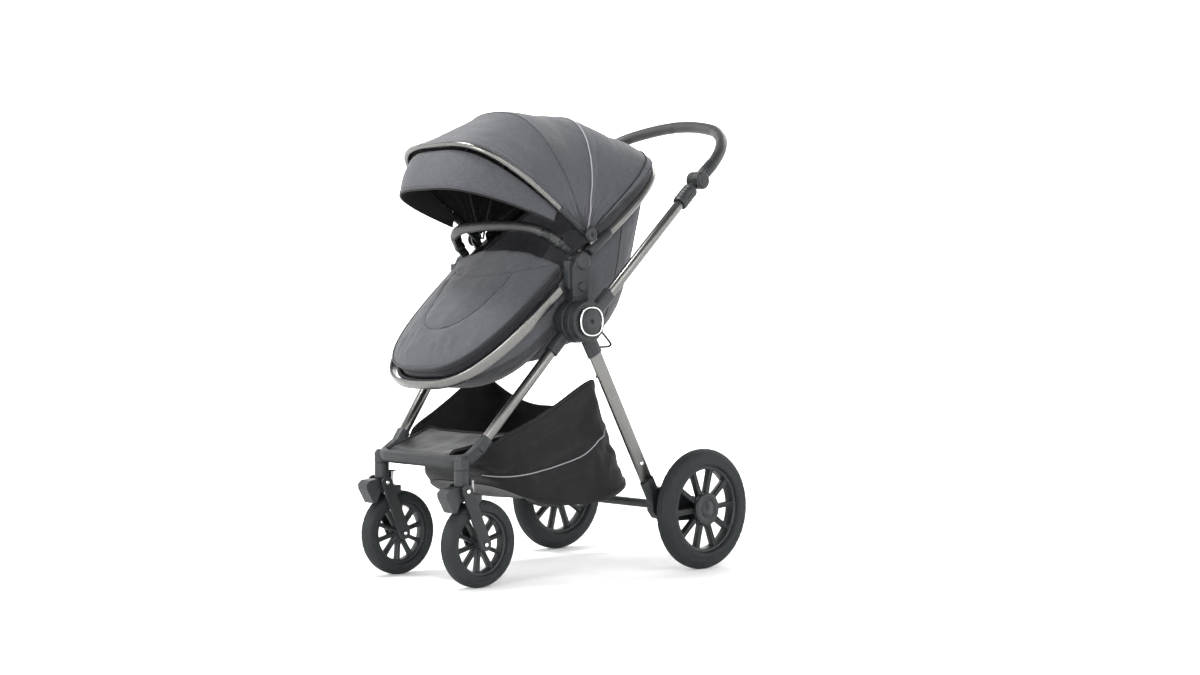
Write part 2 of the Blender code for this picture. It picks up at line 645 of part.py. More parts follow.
def bumper_bar(look):
    """Removable bar in front of the child; its ends plug in beside the seat's pivots."""
    half = smooth([(0.1805, 0.2290 + AXLE_Y, 0.7340), (0.1790, 0.2130 + AXLE_Y, 0.7480),
                   (0.1660, 0.1900 + AXLE_Y, 0.7670), (0.1420, 0.1700 + AXLE_Y, 0.7820),
                   (0.1020, 0.1560 + AXLE_Y, 0.7900), (0.0500, 0.1500 + AXLE_Y, 0.7930),
                   (0.0000, 0.1485 + AXLE_Y, 0.7940)], 2)
    place("bumper_bar", sweep(mirrored(half), circle(0.0108, 12)), look)


# ---------------------------------------------------------------- canopy
def crown_radius(angle):
    """Distance from the canopy's pivot to an arch's crown, smoothed between the bows."""
    points = ARCHES
    if angle <= points[0][0]:
        return points[0][1]
    if angle >= points[-1][0]:
        return points[-1][1]
    for (a0, r0), (a1, r1) in zip(points, points[1:]):
        if a0 <= angle <= a1:
            t = (angle - a0) / (a1 - a0)
            return r0 + (r1 - r0) * t
    return points[-1][1]


def arch_power(angle):
    """Squarer at the two frames, rounder over the middle bows."""
    return 2.4 + 1.2 * min(abs(angle - 92.0) / 53.0, 1.0) ** 2


def end_weighted(share):
    """Half turn whose even steps crowd towards both ends."""
    return math.pi * (share - 0.85 * math.sin(math.tau * share) / math.tau)


def arch_point(angle, share, shrink=0.0, shift=0.0, half_width=CANOPY_HALF_WIDTH):
    """share runs from 0 at the left pivot to 1 at the right one; shift moves the arch square to its plane."""
    power = arch_power(angle)
    turn = end_weighted(share)
    c, s = math.cos(turn), math.sin(turn)
    across = (half_width - shrink) * math.copysign(abs(c) ** (2 / power), c)
    radius = (crown_radius(angle) - shrink) * s ** (2 / power)
    lean = math.radians(angle)
    return at(across, CANOPY_PIVOT[0] + radius * math.cos(lean) - shift * math.sin(lean),
              CANOPY_PIVOT[1] + radius * math.sin(lean) + shift * math.cos(lean))


def canopy_bow(name, angle, shrink, radius, sides, count, look, bosses=()):
    """Hoop from pivot to pivot; bosses are discs' spans on the pivot."""
    first = 0.03
    path = [arch_point(angle, first + (1 - 2 * first) * i / count, shrink) for i in range(count + 1)]
    end = CANOPY_HALF_WIDTH - shrink
    path = [at(end, *CANOPY_PIVOT), *path, at(-end, *CANOPY_PIVOT)]
    hoop = sweep(path, circle(radius, sides))
    discs = [disc(side, span, CANOPY_PIVOT, 0.0115, 14) for span in bosses for _, side in SIDES]
    place(name, merge(hoop, *discs) if discs else hoop, look, at(0, *CANOPY_PIVOT))


def canopy_cover(look):
    """Canopy's fabric from just behind the front bow to the head frame."""
    columns, first = 18, 0.055
    arches = ((BOW_ANGLE, -0.0072), (134, 0), (123, 0), (112, 0), (101, 0), (90, 0), (78, 0), (67, 0), (56, 0),
              (45, 0), (35.5, 0))
    grids = []
    for depth in (0.0, 0.003):
        grids.append([[arch_point(angle, first + (1 - 2 * first) * i / columns, depth, shift)
                       for i in range(columns + 1)] for angle, shift in arches])
    place("canopy_cover", shell(*grids), look, at(0, *CANOPY_PIVOT))


def sun_visor(look):
    """Peak that hangs from the front bow."""
    columns = 16
    grids = []
    for depth in (0.0, 0.003):
        grid = []
        for angle, crown in ((147.6, 0.3345), (153.0, 0.3340), (158.0, 0.3330), (162.8, 0.3310)):
            row = []
            for i in range(columns + 1):
                turn = end_weighted(0.15 + 0.70 * i / columns)
                c, s = math.cos(turn), math.sin(turn)
                across = (0.1825 - depth) * math.copysign(abs(c) ** (2 / 3.2), c)
                radius = (crown - depth) * s ** (2 / 3.2)
                lean = math.radians(angle)
                row.append(at(across, CANOPY_PIVOT[0] + radius * math.cos(lean),
                              CANOPY_PIVOT[1] + radius * math.sin(lean)))
            grid.append(row)
        grids.append(grid)
    place("sun_visor", shell(*grids), look, at(0, *CANOPY_PIVOT))


# ---------------------------------------------------------------- basket
def storage_basket(look):
    """Open fabric tray between the legs, with high rear corners."""
    around, wall = 32, 0.004
    side_back, side_up = (0.0, 0.06, 0.16, 0.30, 0.34), (0.285, 0.330, 0.375, 0.462, 0.445)

    def ring(share, on_wall, inset):
        points = []
        for i in range(around):
            angle = math.tau * (i + 0.5) / around
            c, s = (math.copysign(abs(v) ** 0.42, v) for v in (math.cos(angle), math.sin(angle)))
            floor = Vector(((0.178 + 0.014 * s) * c, 0.262 + 0.190 * s, 0.165 + 0.05 * abs(s) ** 2.5))
            back = 0.163 + 0.173 * s
            end = 0.272 + 0.104 * (s + 1) / 2
            side = float(numpy.interp(back, side_back, side_up))
            rim = Vector(((0.186 + 0.022 * s - 0.055 * max(-s, 0.0) ** 4) * c, back,
                          end + (side - end) * abs(c) ** 2.5))
            if on_wall:
                point = floor.lerp(rim, share) + Vector((-c, -s * 0.6, 0)) * inset
            else:
                point = Vector((floor.x * share, 0.262 + (floor.y - 0.262) * share, floor.z * share
                                + 0.165 * (1 - share)))
                point += Vector((-c, -s, 0)) * 0.6 * inset + Vector((0, 0, inset))
            points.append(at(*point))
        return points

    body, grids = bmesh.new(), []
    for inset in (0.0, wall):
        rings = [ring(share, on_wall, inset) for share, on_wall in
                 ((0.45, False), (0.92, False), (0.0, True), (0.5, True), (1.0, True))]
        grids.append([[body.verts.new(p) for p in row] for row in rings])
    for grid in grids:
        bridge(body, grid)
        body.faces.new(grid[0])
    bridge(body, [grids[0][-1], grids[1][-1]])
    place("storage_basket", body, look)


def basket_panel(look):
    """Stiff front flap of the basket, behind the crossbar."""
    body, rings = bmesh.new(), []
    for back, up, half in ((-0.041, 0.2920, 0.108), (0.000, 0.3010, 0.120), (0.045, 0.3120, 0.134),
                           (0.100, 0.3260, 0.150)):
        rings.append([body.verts.new(at(x, back, up + lift)) for x, lift in
                      ((-half, 0.004), (-half * 0.5, 0.0), (half * 0.5, 0.0), (half, 0.004),
                       (half, -0.001), (half * 0.5, -0.005), (-half * 0.5, -0.005), (-half, -0.001))])
    bridge(body, rings)
    body.faces.new(rings[0])
    body.faces.new(list(reversed(rings[-1])))
    place("basket_panel", body, look)


# ---------------------------------------------------------------- build
def build():
    for leftover in list(bpy.data.objects):
        bpy.data.objects.remove(leftover, do_unlink=True)

    tube = finish_look("gunmetal_tube", (0.19, 0.19, 0.18), 0.32, 0.9)
    plastic = finish_look("black_plastic", (0.012, 0.013, 0.014), 0.5)
    grip = finish_look("grip_leather", (0.014, 0.014, 0.015), 0.6)
    rubber = finish_look("tyre_rubber", (0.016, 0.018, 0.019), 0.75)
    rim_look = finish_look("rim_plastic", (0.012, 0.014, 0.015), 0.5)
    steel = finish_look("bright_steel", (0.6, 0.6, 0.6), 0.25, 1.0)
    grey_cloth = finish_look("grey_fabric", (0.07, 0.072, 0.08), 0.9)
    dark_cloth = finish_look("dark_fabric", (0.03, 0.031, 0.035), 0.9)
    black_cloth = finish_look("black_fabric", (0.01, 0.01, 0.011), 0.9)

    for word, side in SIDES:
        frame_hub(f"frame_hub_{word}", side, plastic)
        front_leg(f"front_leg_{word}", side, tube)
        castor_housing(f"castor_housing_{word}", side, plastic)
        castor_knuckle(f"castor_knuckle_{word}", side, plastic)
        suspension_spring(f"suspension_spring_{word}", side, steel)
        front_fork(f"front_fork_{word}", side, plastic)
        centre = at(side * FRONT_TRACK / 2, 0, FRONT_RADIUS)
        tyre(f"front_tyre_{word}", side, centre, FRONT_RADIUS, 0.0704, 0.0205, rubber, 28)
        rim(f"front_rim_{word}", side, centre, 0.0700, 0.0625, 0.0125, (0.0135, -0.0200, 0.0200), 0.0050,
            (0.0050, -0.0080, 0.0080), 14.0, rim_look, 28)
        rear_leg_joint(f"rear_leg_joint_{word}", side, plastic)
        rear_leg(f"rear_leg_{word}", side, tube)
        rear_bracket(f"rear_bracket_{word}", side, plastic)
        centre = at(side * REAR_TRACK / 2, WHEELBASE, REAR_RADIUS)
        tyre(f"rear_tyre_{word}", side, centre, REAR_RADIUS, 0.1014, 0.0214, rubber, 32)
        rim(f"rear_rim_{word}", side, centre, 0.1010, 0.0925, 0.0140, (0.0300, -0.0170, 0.0190), 0.0066,
            (0.0070, -0.0060, 0.0100), 4.0, rim_look, 32)
        handle_joint(f"handle_joint_{word}", side, plastic)
        hub_cap(f"hub_cap_{word}", side, plastic)
        handle_tube(f"handle_tube_{word}", side, tube)
        tilt_housing(f"tilt_housing_{word}", side, plastic)
        fold_trigger(f"fold_trigger_{word}", side, plastic)
        tilt_button(f"tilt_button_{word}", side, plastic)
        seat_adapter(f"seat_adapter_{word}", side, plastic)
        adapter_button(f"adapter_button_{word}", side, plastic)

    front_crossbar(plastic)
    rear_axle(plastic)
    brake_pedal(plastic)
    handlebar(grip)
    foot_frame(tube)
    head_frame(tube)
    leg_tub(dark_cloth)
    seat_tub(grey_cloth)
    seat_pad(grey_cloth)
    boot_cover(grey_cloth)
    bumper_bar(grip)
    canopy_bow("canopy_front_bow", BOW_ANGLE, 0.0, 0.0062, 10, 24, tube, [(0.1855, 0.1988)])
    canopy_bow("canopy_mid_bow", MID_BOW_ANGLE, 0.0125, 0.0025, 6, 18, plastic)
    canopy_bow("canopy_rear_bow", REAR_BOW_ANGLE, 0.0190, 0.0025, 6, 18, plastic)
    canopy_cover(grey_cloth)
    sun_visor(dark_cloth)
    storage_basket(black_cloth)
    basket_panel(plastic)


build()
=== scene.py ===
"""Looks for the baby stroller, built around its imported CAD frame.

Metres, +Z up, the stroller faces -Y. Places are given as (across, back, up), with back measured
from the front axle, and at() moves them into the part's frame.
"""
import json
from math import acos, atan2, copysign, cos, exp, hypot, pi, radians, sin, sqrt, tau

import bmesh
import bpy
import numpy as np
from mathutils import Matrix, Vector, noise


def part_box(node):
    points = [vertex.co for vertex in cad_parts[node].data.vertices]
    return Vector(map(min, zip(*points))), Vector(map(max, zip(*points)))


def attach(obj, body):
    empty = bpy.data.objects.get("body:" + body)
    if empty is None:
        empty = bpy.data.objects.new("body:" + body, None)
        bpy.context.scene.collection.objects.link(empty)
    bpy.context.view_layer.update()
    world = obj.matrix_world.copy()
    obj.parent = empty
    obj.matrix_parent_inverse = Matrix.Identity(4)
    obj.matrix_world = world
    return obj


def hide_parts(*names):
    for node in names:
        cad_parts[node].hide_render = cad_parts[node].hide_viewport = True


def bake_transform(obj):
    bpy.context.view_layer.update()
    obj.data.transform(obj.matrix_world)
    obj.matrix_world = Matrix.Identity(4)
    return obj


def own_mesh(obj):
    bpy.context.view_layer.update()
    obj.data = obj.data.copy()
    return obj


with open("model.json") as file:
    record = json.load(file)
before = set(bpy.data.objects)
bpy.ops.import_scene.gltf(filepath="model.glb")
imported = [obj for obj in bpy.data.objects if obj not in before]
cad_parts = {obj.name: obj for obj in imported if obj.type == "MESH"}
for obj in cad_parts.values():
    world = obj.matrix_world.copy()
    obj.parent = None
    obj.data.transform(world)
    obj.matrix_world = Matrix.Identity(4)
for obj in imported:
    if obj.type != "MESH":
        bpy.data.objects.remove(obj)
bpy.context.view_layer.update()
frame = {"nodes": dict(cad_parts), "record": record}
NODES = frame["nodes"]

# ---------------------------------------------------------------- dimensions shared with the CAD part
AXLE_Y = -0.3355
HUB = (0.231, 0.578)
SEAT_PIVOT = (0.246, 0.713)
CANOPY_PIVOT = (0.276, 0.772)
TILT_PIVOT = (0.578, 0.904)
CROSSTUBE = (0.470, 0.155)
CASTOR = (0.1445, -0.045)
FORK_PIVOT = (-0.050, 0.2146)
HANDLE_X = 0.2455
FRONT_RADIUS, REAR_RADIUS = 0.096, 0.140
FOOT_LOOP = (0.200, 0.655, radians(-139.0), 0.200, 0.330)
BOOT_LOOP = (0.200, 0.702, radians(-138.5), 0.183, 0.342)
HEAD_LOOP = (SEAT_PIVOT[0], SEAT_PIVOT[1], radians(36.0), 0.2015, 0.406)
ARCHES = ((34.0, 0.348), (56.0, 0.295), (78.0, 0.285), (95.0, 0.287), (112.0, 0.301), (145.0, 0.343))
CANOPY_HALF_WIDTH = 0.191
SIDES = (("left", 1), ("right", -1))


def at(across, back, up):
    return Vector((across, back + AXLE_Y, up))


def smoothstep(low, high, value):
    t = min(max((value - low) / (high - low), 0.0), 1.0)
    return t * t * (3 - 2 * t)


def curved(value, power):
    """Superellipse coordinate for a cosine or sine."""
    return copysign(abs(value) ** (2 / power), value)


# ---------------------------------------------------------------- materials
class Look:
    """A Principled material with a few helpers for its procedural nodes."""

    def __init__(self, name, roughness=0.5, metallic=0.0, **sockets):
        self.material = bpy.data.materials.new(name)
        self.material.use_nodes = True
        self.tree = self.material.node_tree
        self.shader = self.tree.nodes["Principled BSDF"]
        self.shader.inputs["Roughness"].default_value = roughness
        self.shader.inputs["Metallic"].default_value = metallic
        for key, value in sockets.items():
            self.shader.inputs[key.replace("_", " ")].default_value = value

    def add(self, kind, inputs=None, **settings):
        made = self.tree.nodes.new(kind)
        for key, value in settings.items():
            setattr(made, key, value)
        for key, value in (inputs or {}).items():
            if isinstance(value, bpy.types.NodeSocket):
                self.tree.links.new(value, made.inputs[key])
            else:
                made.inputs[key].default_value = value
        return made

    def space(self, kind="Object", scale=(1, 1, 1)):
        """Coordinates in metres (UV maps here are in metres too), scaled per axis."""
        source = self.add("ShaderNodeTexCoord").outputs[kind]
        return self.add("ShaderNodeMapping", {"Vector": source, "Scale": scale}).outputs["Vector"]

    def grain(self, vector, scale=1.0, detail=3.0, rough=0.55):
        return self.add("ShaderNodeTexNoise", {"Vector": vector, "Scale": scale, "Detail": detail,
                                               "Roughness": rough}).outputs["Fac"]

    def math(self, operation, first, second=0.0):
        return self.add("ShaderNodeMath", {0: first, 1: second}, operation=operation).outputs[0]

    def ramp(self, value, low, high, start=0.3, end=0.7):
        made = self.add("ShaderNodeValToRGB", {"Fac": value})
        made.color_ramp.elements[0].position, made.color_ramp.elements[1].position = start, end
        made.color_ramp.elements[0].color = (*low, 1)
        made.color_ramp.elements[1].color = (*high, 1)
        return made.outputs["Color"]

    def span(self, value, low, high):
        return self.add("ShaderNodeMapRange", {"Value": value, "From Min": 0.3, "From Max": 0.7, "To Min": low,
                                               "To Max": high}).outputs["Result"]

    def tint(self, colour, amount, value):
        """Multiply a colour by 1 +- amount."""
        factor = self.span(value, 1 - amount, 1 + amount)
        mixed = self.add("ShaderNodeVectorMath", {0: colour}, operation="SCALE")
        self.tree.links.new(factor, mixed.inputs["Scale"])
        return mixed.outputs["Vector"]

    def set(self, socket, value):
        self.tree.links.new(value, self.shader.inputs[socket])

    def bump(self, height, distance, strength=1.0, below=None):
        made = self.add("ShaderNodeBump", {"Height": height, "Distance": distance, "Strength": strength})
        if below is not None:
            self.tree.links.new(below, made.inputs["Normal"])
        return made.outputs["Normal"]


def scaled(colour, factor):
    return tuple(min(c * factor, 1.0) for c in colour)


CLOTH_ROUGHNESS, THREAD_PITCH = 0.82, 0.0016


def cloth_look(name, colour, kind="UV", contrast=0.22, sheen=0.14):
    """Plain-woven polyester: heathered threads both ways, a weave relief and soft creases."""
    look = Look(name, CLOTH_ROUGHNESS, Sheen_Weight=sheen, Sheen_Roughness=0.45, Specular_IOR_Level=0.20)
    deep = 300 if kind == "Object" else 1
    warp = look.grain(look.space(kind, (55, 950, deep)), detail=2)
    weft = look.grain(look.space(kind, (950, 55, deep)), detail=2)
    heather = look.math("ADD", look.math("MULTIPLY", warp, 0.5), look.math("MULTIPLY", weft, 0.5))
    base = look.ramp(heather, scaled(colour, 1 - contrast), scaled(colour, 1 + contrast), 0.40, 0.60)
    cloudy = look.grain(look.space(), scale=7.0, detail=4)
    look.set("Base Color", look.tint(base, 0.10, cloudy))
    threads = [look.add("ShaderNodeTexWave", {"Vector": look.space(kind), "Scale": 0.314 / THREAD_PITCH,
                                              "Distortion": 0.25}, bands_direction=way).outputs["Fac"]
               for way in "XY"]
    weave = look.bump(look.math("ADD", look.math("MAXIMUM", *threads), heather), 0.00022, 0.55)
    creases = look.grain(look.space(), scale=26.0, detail=3)
    look.set("Normal", look.bump(creases, 0.0035, 0.35, below=weave))
    look.set("Roughness", look.span(cloudy, CLOTH_ROUGHNESS - 0.06, CLOTH_ROUGHNESS + 0.08))
    return look.material


def metal_look(name, colour, roughness=0.27):
    """Brushed, anodised tube with faint drawing lines and handling marks."""
    look = Look(name, roughness=roughness, metallic=1.0)
    lines = look.grain(look.space(scale=(420, 420, 14)), detail=2)
    marks = look.grain(look.space(), scale=14.0, detail=4, rough=0.5)
    base = look.ramp(lines, scaled(colour, 0.95), scaled(colour, 1.05), 0.3, 0.7)
    look.set("Base Color", look.tint(base, 0.04, marks))
    look.set("Roughness", look.span(marks, roughness - 0.02, roughness + 0.04))
    look.set("Normal", look.bump(lines, 0.00002, 0.25))
    return look.material


def plastic_look(name, colour, roughness=0.46, relief=0.00006):
    """Moulded plastic with a fine spark-eroded grain, and a painted highlight that makes its convex edges paler.
    """
    look = Look(name, roughness=roughness, Specular_IOR_Level=0.36)
    fine = look.grain(look.space(), scale=900.0, detail=2)
    broad = look.grain(look.space(), scale=18.0, detail=4)
    # painted highlight: convex edges, found by pointiness, are mixed towards a colour 2.2 times paler
    edge = look.add("ShaderNodeNewGeometry").outputs["Pointiness"]
    edge_highlight = look.add("ShaderNodeMapRange", {"Value": edge, "From Min": 0.52, "From Max": 0.62}).outputs["Result"]
    mixed = look.add("ShaderNodeMix", data_type="RGBA")
    look.tree.links.new(edge_highlight, mixed.inputs[0])
    mixed.inputs[6].default_value = (*colour, 1)
    mixed.inputs[7].default_value = (*scaled(colour, 2.2), 1)
    look.set("Base Color", look.tint(mixed.outputs[2], 0.14, broad))
    look.set("Roughness", look.span(broad, roughness - 0.05, roughness + 0.08))
    rounded = look.add("ShaderNodeBevel", {"Radius": 0.0012}, samples=4).outputs["Normal"]
    look.set("Normal", look.bump(fine, relief, 0.5, below=rounded))
    return look.material


def leather_look(name, colour):
    """Coated grip covering: pebbled grain with darker valleys."""
    look = Look(name, roughness=0.5, Coat_Weight=0.08)
    cells = look.add("ShaderNodeTexVoronoi", {"Vector": look.space(), "Scale": 620.0},
                     feature="SMOOTH_F1").outputs["Distance"]
    broad = look.grain(look.space(), scale=30.0, detail=4)
    look.set("Base Color", look.tint(look.ramp(cells, scaled(colour, 1.25), scaled(colour, 0.6), 0.1, 0.9), 0.15,
                                     broad))
    look.set("Roughness", look.span(broad, 0.42, 0.6))
    look.set("Normal", look.bump(cells, 0.00025, 0.6))
    return look.material


def rubber_look(name, colour):
    """Foam-rubber tyre: matt, with paler dusty patches and a fine skin."""
    look = Look(name, roughness=0.72, Specular_IOR_Level=0.30)
    skin = look.grain(look.space(), scale=420.0, detail=3)
    dust = look.grain(look.space(), scale=14.0, detail=6, rough=0.7)
    base = look.ramp(dust, colour, scaled(colour, 1.9), 0.42, 0.80)
    look.set("Base Color", look.tint(base, 0.10, skin))
    look.set("Roughness", look.span(dust, 0.62, 0.80))
    look.set("Normal", look.bump(skin, 0.00010, 0.5))
    return look.material


GREY = (0.050, 0.0515, 0.058)
DARK_GREY = (0.019, 0.0195, 0.022)
BLACK_CLOTH = (0.0042, 0.0044, 0.0048)
METAL = (0.150, 0.148, 0.142)
PLASTIC = (0.0068, 0.0082, 0.0090)

looks = {
    "cloth": cloth_look("woven_grey", GREY),
    "cloth_object": cloth_look("woven_grey_pad", scaled(GREY, 1.6), kind="Object"),
    "cloth_dark": cloth_look("woven_dark_grey", DARK_GREY),
    "lining": cloth_look("lining_black", (0.006, 0.006, 0.007), contrast=0.15, sheen=0.1),
    "basket": cloth_look("woven_black", BLACK_CLOTH, contrast=0.3, sheen=0.12),
    "piping": cloth_look("piping_light", (0.22, 0.22, 0.235), kind="Object", contrast=0.1),
    "binding": cloth_look("binding_grey", scaled(GREY, 0.62), kind="Object"),
    "metal": metal_look("brushed_gunmetal", METAL),
    "chrome": metal_look("polished_ring", (0.86, 0.86, 0.87), roughness=0.12),
    "spring": metal_look("spring_wire", (0.78, 0.78, 0.80), roughness=0.22),
    "plastic": plastic_look("moulded_black", PLASTIC),
    "plastic_gloss": plastic_look("moulded_satin", scaled(PLASTIC, 0.8), roughness=0.30, relief=0.00003),
    "rim": plastic_look("rim_black", (0.0058, 0.0072, 0.0080), roughness=0.42),
    "leather": leather_look("grip_leather", (0.0085, 0.0088, 0.0092)),
    "tyre": rubber_look("tyre_rubber", (0.0068, 0.0088, 0.0096)),
    "cloth_band": cloth_look("woven_band", scaled(GREY, 1.25)),
    "flap": plastic_look("flap_coated", (0.0075, 0.0080, 0.0088), roughness=0.40, relief=0.00012),
    "thread": cloth_look("stitch_thread", (0.03, 0.03, 0.033), kind="Object"),
}
CAD_LOOKS = {"black_plastic": "plastic", "hub_cap": "plastic_gloss", "gunmetal_tube": "metal",
             "bow_plastic": "plastic", "spring_steel": "spring", "tyre": "tyre", "rim_plastic": "rim",
             "grip_leather": "leather", "grey_fabric": "cloth", "dark_fabric": "cloth_dark",
             "basket_fabric": "basket"}
SLOT_OF = {entry["node"]: entry["material_slot"] for entry in frame["record"]["subparts"]}
DARK_NODES = ("rear_axle",)
for node_name, node_object in NODES.items():
    look_name = "plastic" if node_name in DARK_NODES else CAD_LOOKS[SLOT_OF[node_name]]
    for material_slot in node_object.material_slots:
        material_slot.material = looks[look_name]

# ---------------------------------------------------------------- mesh builders
def put(obj, body, slot_name, *replaced):
    """Tie a piece to its CAD body, and let it stand for CAD nodes, which it hides; its material slot is not
    used.
    """
    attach(obj, body)
    if replaced:
        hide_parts(*replaced)
    return obj


def piece(name, points, faces, materials, uvs=None, bands=None):
    mesh = bpy.data.meshes.new(name)
    mesh.from_pydata([tuple(p) for p in points], [], faces)
    for material in materials:
        mesh.materials.append(looks[material])
    if bands is not None:
        mesh.polygons.foreach_set("material_index", bands)
    if uvs is not None:
        layer = mesh.uv_layers.new(name="cloth")
        corners = np.empty(len(mesh.loops), int)
        mesh.loops.foreach_get("vertex_index", corners)
        layer.data.foreach_set("uv", np.array(uvs, float)[corners].ravel())
    mesh.polygons.foreach_set("use_smooth", [True] * len(mesh.polygons))
    body = bmesh.new()
    body.from_mesh(mesh)
    bmesh.ops.recalc_face_normals(body, faces=body.faces)
    body.to_mesh(mesh)
    body.free()
    obj = bpy.data.objects.new(name, mesh)
    bpy.context.collection.objects.link(obj)
    return obj


def cloth_panel(name, grid, thickness, materials, inside, wrap=False, row_bands=None):
    """Cloth of some thickness from a grid of points on its outer face; inside is a point on the lining's side.

    materials are (outer, lining[, second outer]); row_bands picks the second outer per column strip."""
    outer = np.array([[tuple(p) for p in row] for row in grid], float)
    rows, columns = outer.shape[:2]
    down = np.gradient(outer, axis=0)
    if wrap:
        ring = np.concatenate([outer[:, -1:], outer, outer[:, :1]], axis=1)
        over = np.gradient(ring, axis=1)[:, 1:-1]
    else:
        over = np.gradient(outer, axis=1)
    normal = np.cross(down, over)
    length = np.linalg.norm(normal, axis=2, keepdims=True)
    normal = normal / np.maximum(length, 1e-12)
    facing = np.sum(normal * (np.array(inside, float) - outer))
    inner = outer + normal * copysign(thickness, facing)
    points = np.concatenate([outer.reshape(-1, 3), inner.reshape(-1, 3)])
    run = np.linalg.norm(np.diff(outer[:, columns // 2], axis=0), axis=1)
    across = np.linalg.norm(np.diff(outer[rows // 2], axis=0), axis=1)
    v = np.concatenate([[0], np.cumsum(run)])
    u = np.concatenate([[0], np.cumsum(across)])
    uv = np.stack(np.meshgrid(u, v), axis=-1).reshape(-1, 2)
    shift = rows * columns
    faces, bands = [], []
    last = columns if wrap else columns - 1
    for i in range(rows - 1):
        for j in range(last):
            k = (j + 1) % columns
            quad = (i * columns + j, (i + 1) * columns + j, (i + 1) * columns + k, i * columns + k)
            faces.append(quad)
            bands.append(2 if row_bands is not None and row_bands[j] else 0)
            faces.append(tuple(q + shift for q in reversed(quad)))
            bands.append(1)
    edge = [(i * columns + j, i * columns + (j + 1) % columns) for i in (0, rows - 1) for j in range(last)]
    if not wrap:
        edge += [(i * columns + j, (i + 1) * columns + j) for j in (0, columns - 1) for i in range(rows - 1)]
    for a, b in edge:
        faces.append((a, b, b + shift, a + shift))
        bands.append(0)
    return piece(name, points, faces, materials, uvs=np.concatenate([uv, uv]), bands=bands)


def spline(points, steps=8):
    """Catmull-Rom curve through the points."""
    points = [Vector(p) for p in points]
    ends = [2 * points[0] - points[1], *points, 2 * points[-1] - points[-2]]
    path = []
    for i in range(1, len(ends) - 2):
        a, b, c, d = ends[i - 1:i + 3]
        for step in range(steps):
            t = step / steps
            path.append(0.5 * (2 * b + (c - a) * t + (2 * a - 5 * b + 4 * c - d) * t * t
                               + (3 * b - a - 3 * c + d) * t ** 3))
    return path + [points[-1]]


def mirrored(points):
    return list(points) + [Vector((-p[0], p[1], p[2])) for p in reversed(points[:-1])]


def oval(half_side, half_up, sides=28, power=2.0):
    turns = [tau * i / sides for i in range(sides)]
    return [(half_side * curved(cos(t), power), half_up * curved(sin(t), power)) for t in turns]


def bar(name, path, section, material, closed=False, side=None, widths=None, ends=True):
    """Bar of one section along a path, with rounded ends."""
    path = [Vector(p) for p in path]
    count = len(path)
    side = Vector(side) if side is not None else Vector((0.3, 0.2, 1)).cross(path[1] - path[0])
    points, faces, stations = [], [], []
    for i, point in enumerate(path):
        before = path[i - 1] if closed or i else path[0]
        after = path[(i + 1) % count] if closed or i < count - 1 else path[-1]
        tangent = (after - before).normalized()
        side = (side - tangent * side.dot(tangent)).normalized()
        scale = widths[i] if widths else 1.0
        stations.append((point, side, tangent.cross(side), scale, tangent))
    if not closed and ends:
        cap = min(max(abs(a) for a, _ in section), max(abs(b) for _, b in section))
        for index, sign in ((0, -1), (-1, 1)):
            point, s, a, scale, tangent = stations[index]
            extra = [(point + tangent * sign * cap * 0.30 * scale * lift, s, a, scale * size, tangent)
                     for lift, size in ((0.7, 0.90), (1.0, 0.62), (1.05, 0.02))]
            stations = extra[::-1] + stations if index == 0 else stations + extra
    sides = len(section)
    for point, s, a, scale, _ in stations:
        points += [point + s * (x * scale) + a * (y * scale) for x, y in section]
    rings = len(stations)
    for i in range(rings if closed else rings - 1):
        for j in range(sides):
            k, n = (j + 1) % sides, (i + 1) % rings
            faces.append((i * sides + j, n * sides + j, n * sides + k, i * sides + k))
    if not closed:
        faces += [tuple(range(sides)), tuple((rings - 1) * sides + j for j in reversed(range(sides)))]
    return piece(name, points, faces, [material])


def tube(name, path, radius, material, sides=12, **options):
    return bar(name, path, oval(radius, radius, sides), material, **options)


def lathe(name, profile, centre, material, segments, notch=None):
    """Closed ring or solid about an axis along X; profile points are (radius, across), in a loop."""
    points, faces = [], []
    for i in range(segments):
        angle = tau * i / segments
        for index, (radius, shift) in enumerate(profile):
            r = radius - (notch(i, index) if notch else 0.0)
            points.append(Vector(centre) + Vector((shift, r * cos(angle), r * sin(angle))))
    size = len(profile)
    for i in range(segments):
        for j in range(size):
            k, n = (j + 1) % size, (i + 1) % segments
            faces.append((i * size + j, n * size + j, n * size + k, i * size + k))
    return piece(name, points, faces, [material])


def joined(name, parts):
    """One object out of several of the same kind."""
    target = parts[0]
    with bpy.context.temp_override(active_object=target, selected_editable_objects=parts, selected_objects=parts,
                                   object=target):
        bpy.ops.object.join()
    target.name = name
    return target


def ripple(place, scale, size):
    return size * noise.fractal(Vector(place) * scale, 0.9, 2.1, 3)


def turned(name, side, profile, place, material, segments):
    """Cap on one side of the stroller, its profile given for the left."""
    return lathe(name, [(r, side * x) for r, x in profile], place, material, segments)


# ---------------------------------------------------------------- tubes of the frame
def on_hub(angle, distance, across):
    return at(across, HUB[0] + distance * cos(angle), HUB[1] + distance * sin(angle))


HANDLE_ANGLE = atan2(TILT_PIVOT[1] - HUB[1], TILT_PIVOT[0] - HUB[0])
HANDLE_LENGTH = hypot(TILT_PIVOT[1] - HUB[1], TILT_PIVOT[0] - HUB[0])
REAR_LEG_ANGLE = atan2(CROSSTUBE[1] - HUB[1], CROSSTUBE[0] + 0.003 - HUB[0])
LEG_TOP = (0.200, HUB[0], HUB[1])
LEG_FOOT = (0.146, 0.005, 0.305)


def loop_point(loop, across, distance, height=0.0):
    """Point of a seat loop's plane; height is measured square to it, upwards."""
    back, up, angle = loop[:3]
    flip = -1 if cos(angle) < 0 else 1
    return at(across, back + distance * cos(angle) - flip * height * sin(angle),
              up + distance * sin(angle) + flip * height * cos(angle))


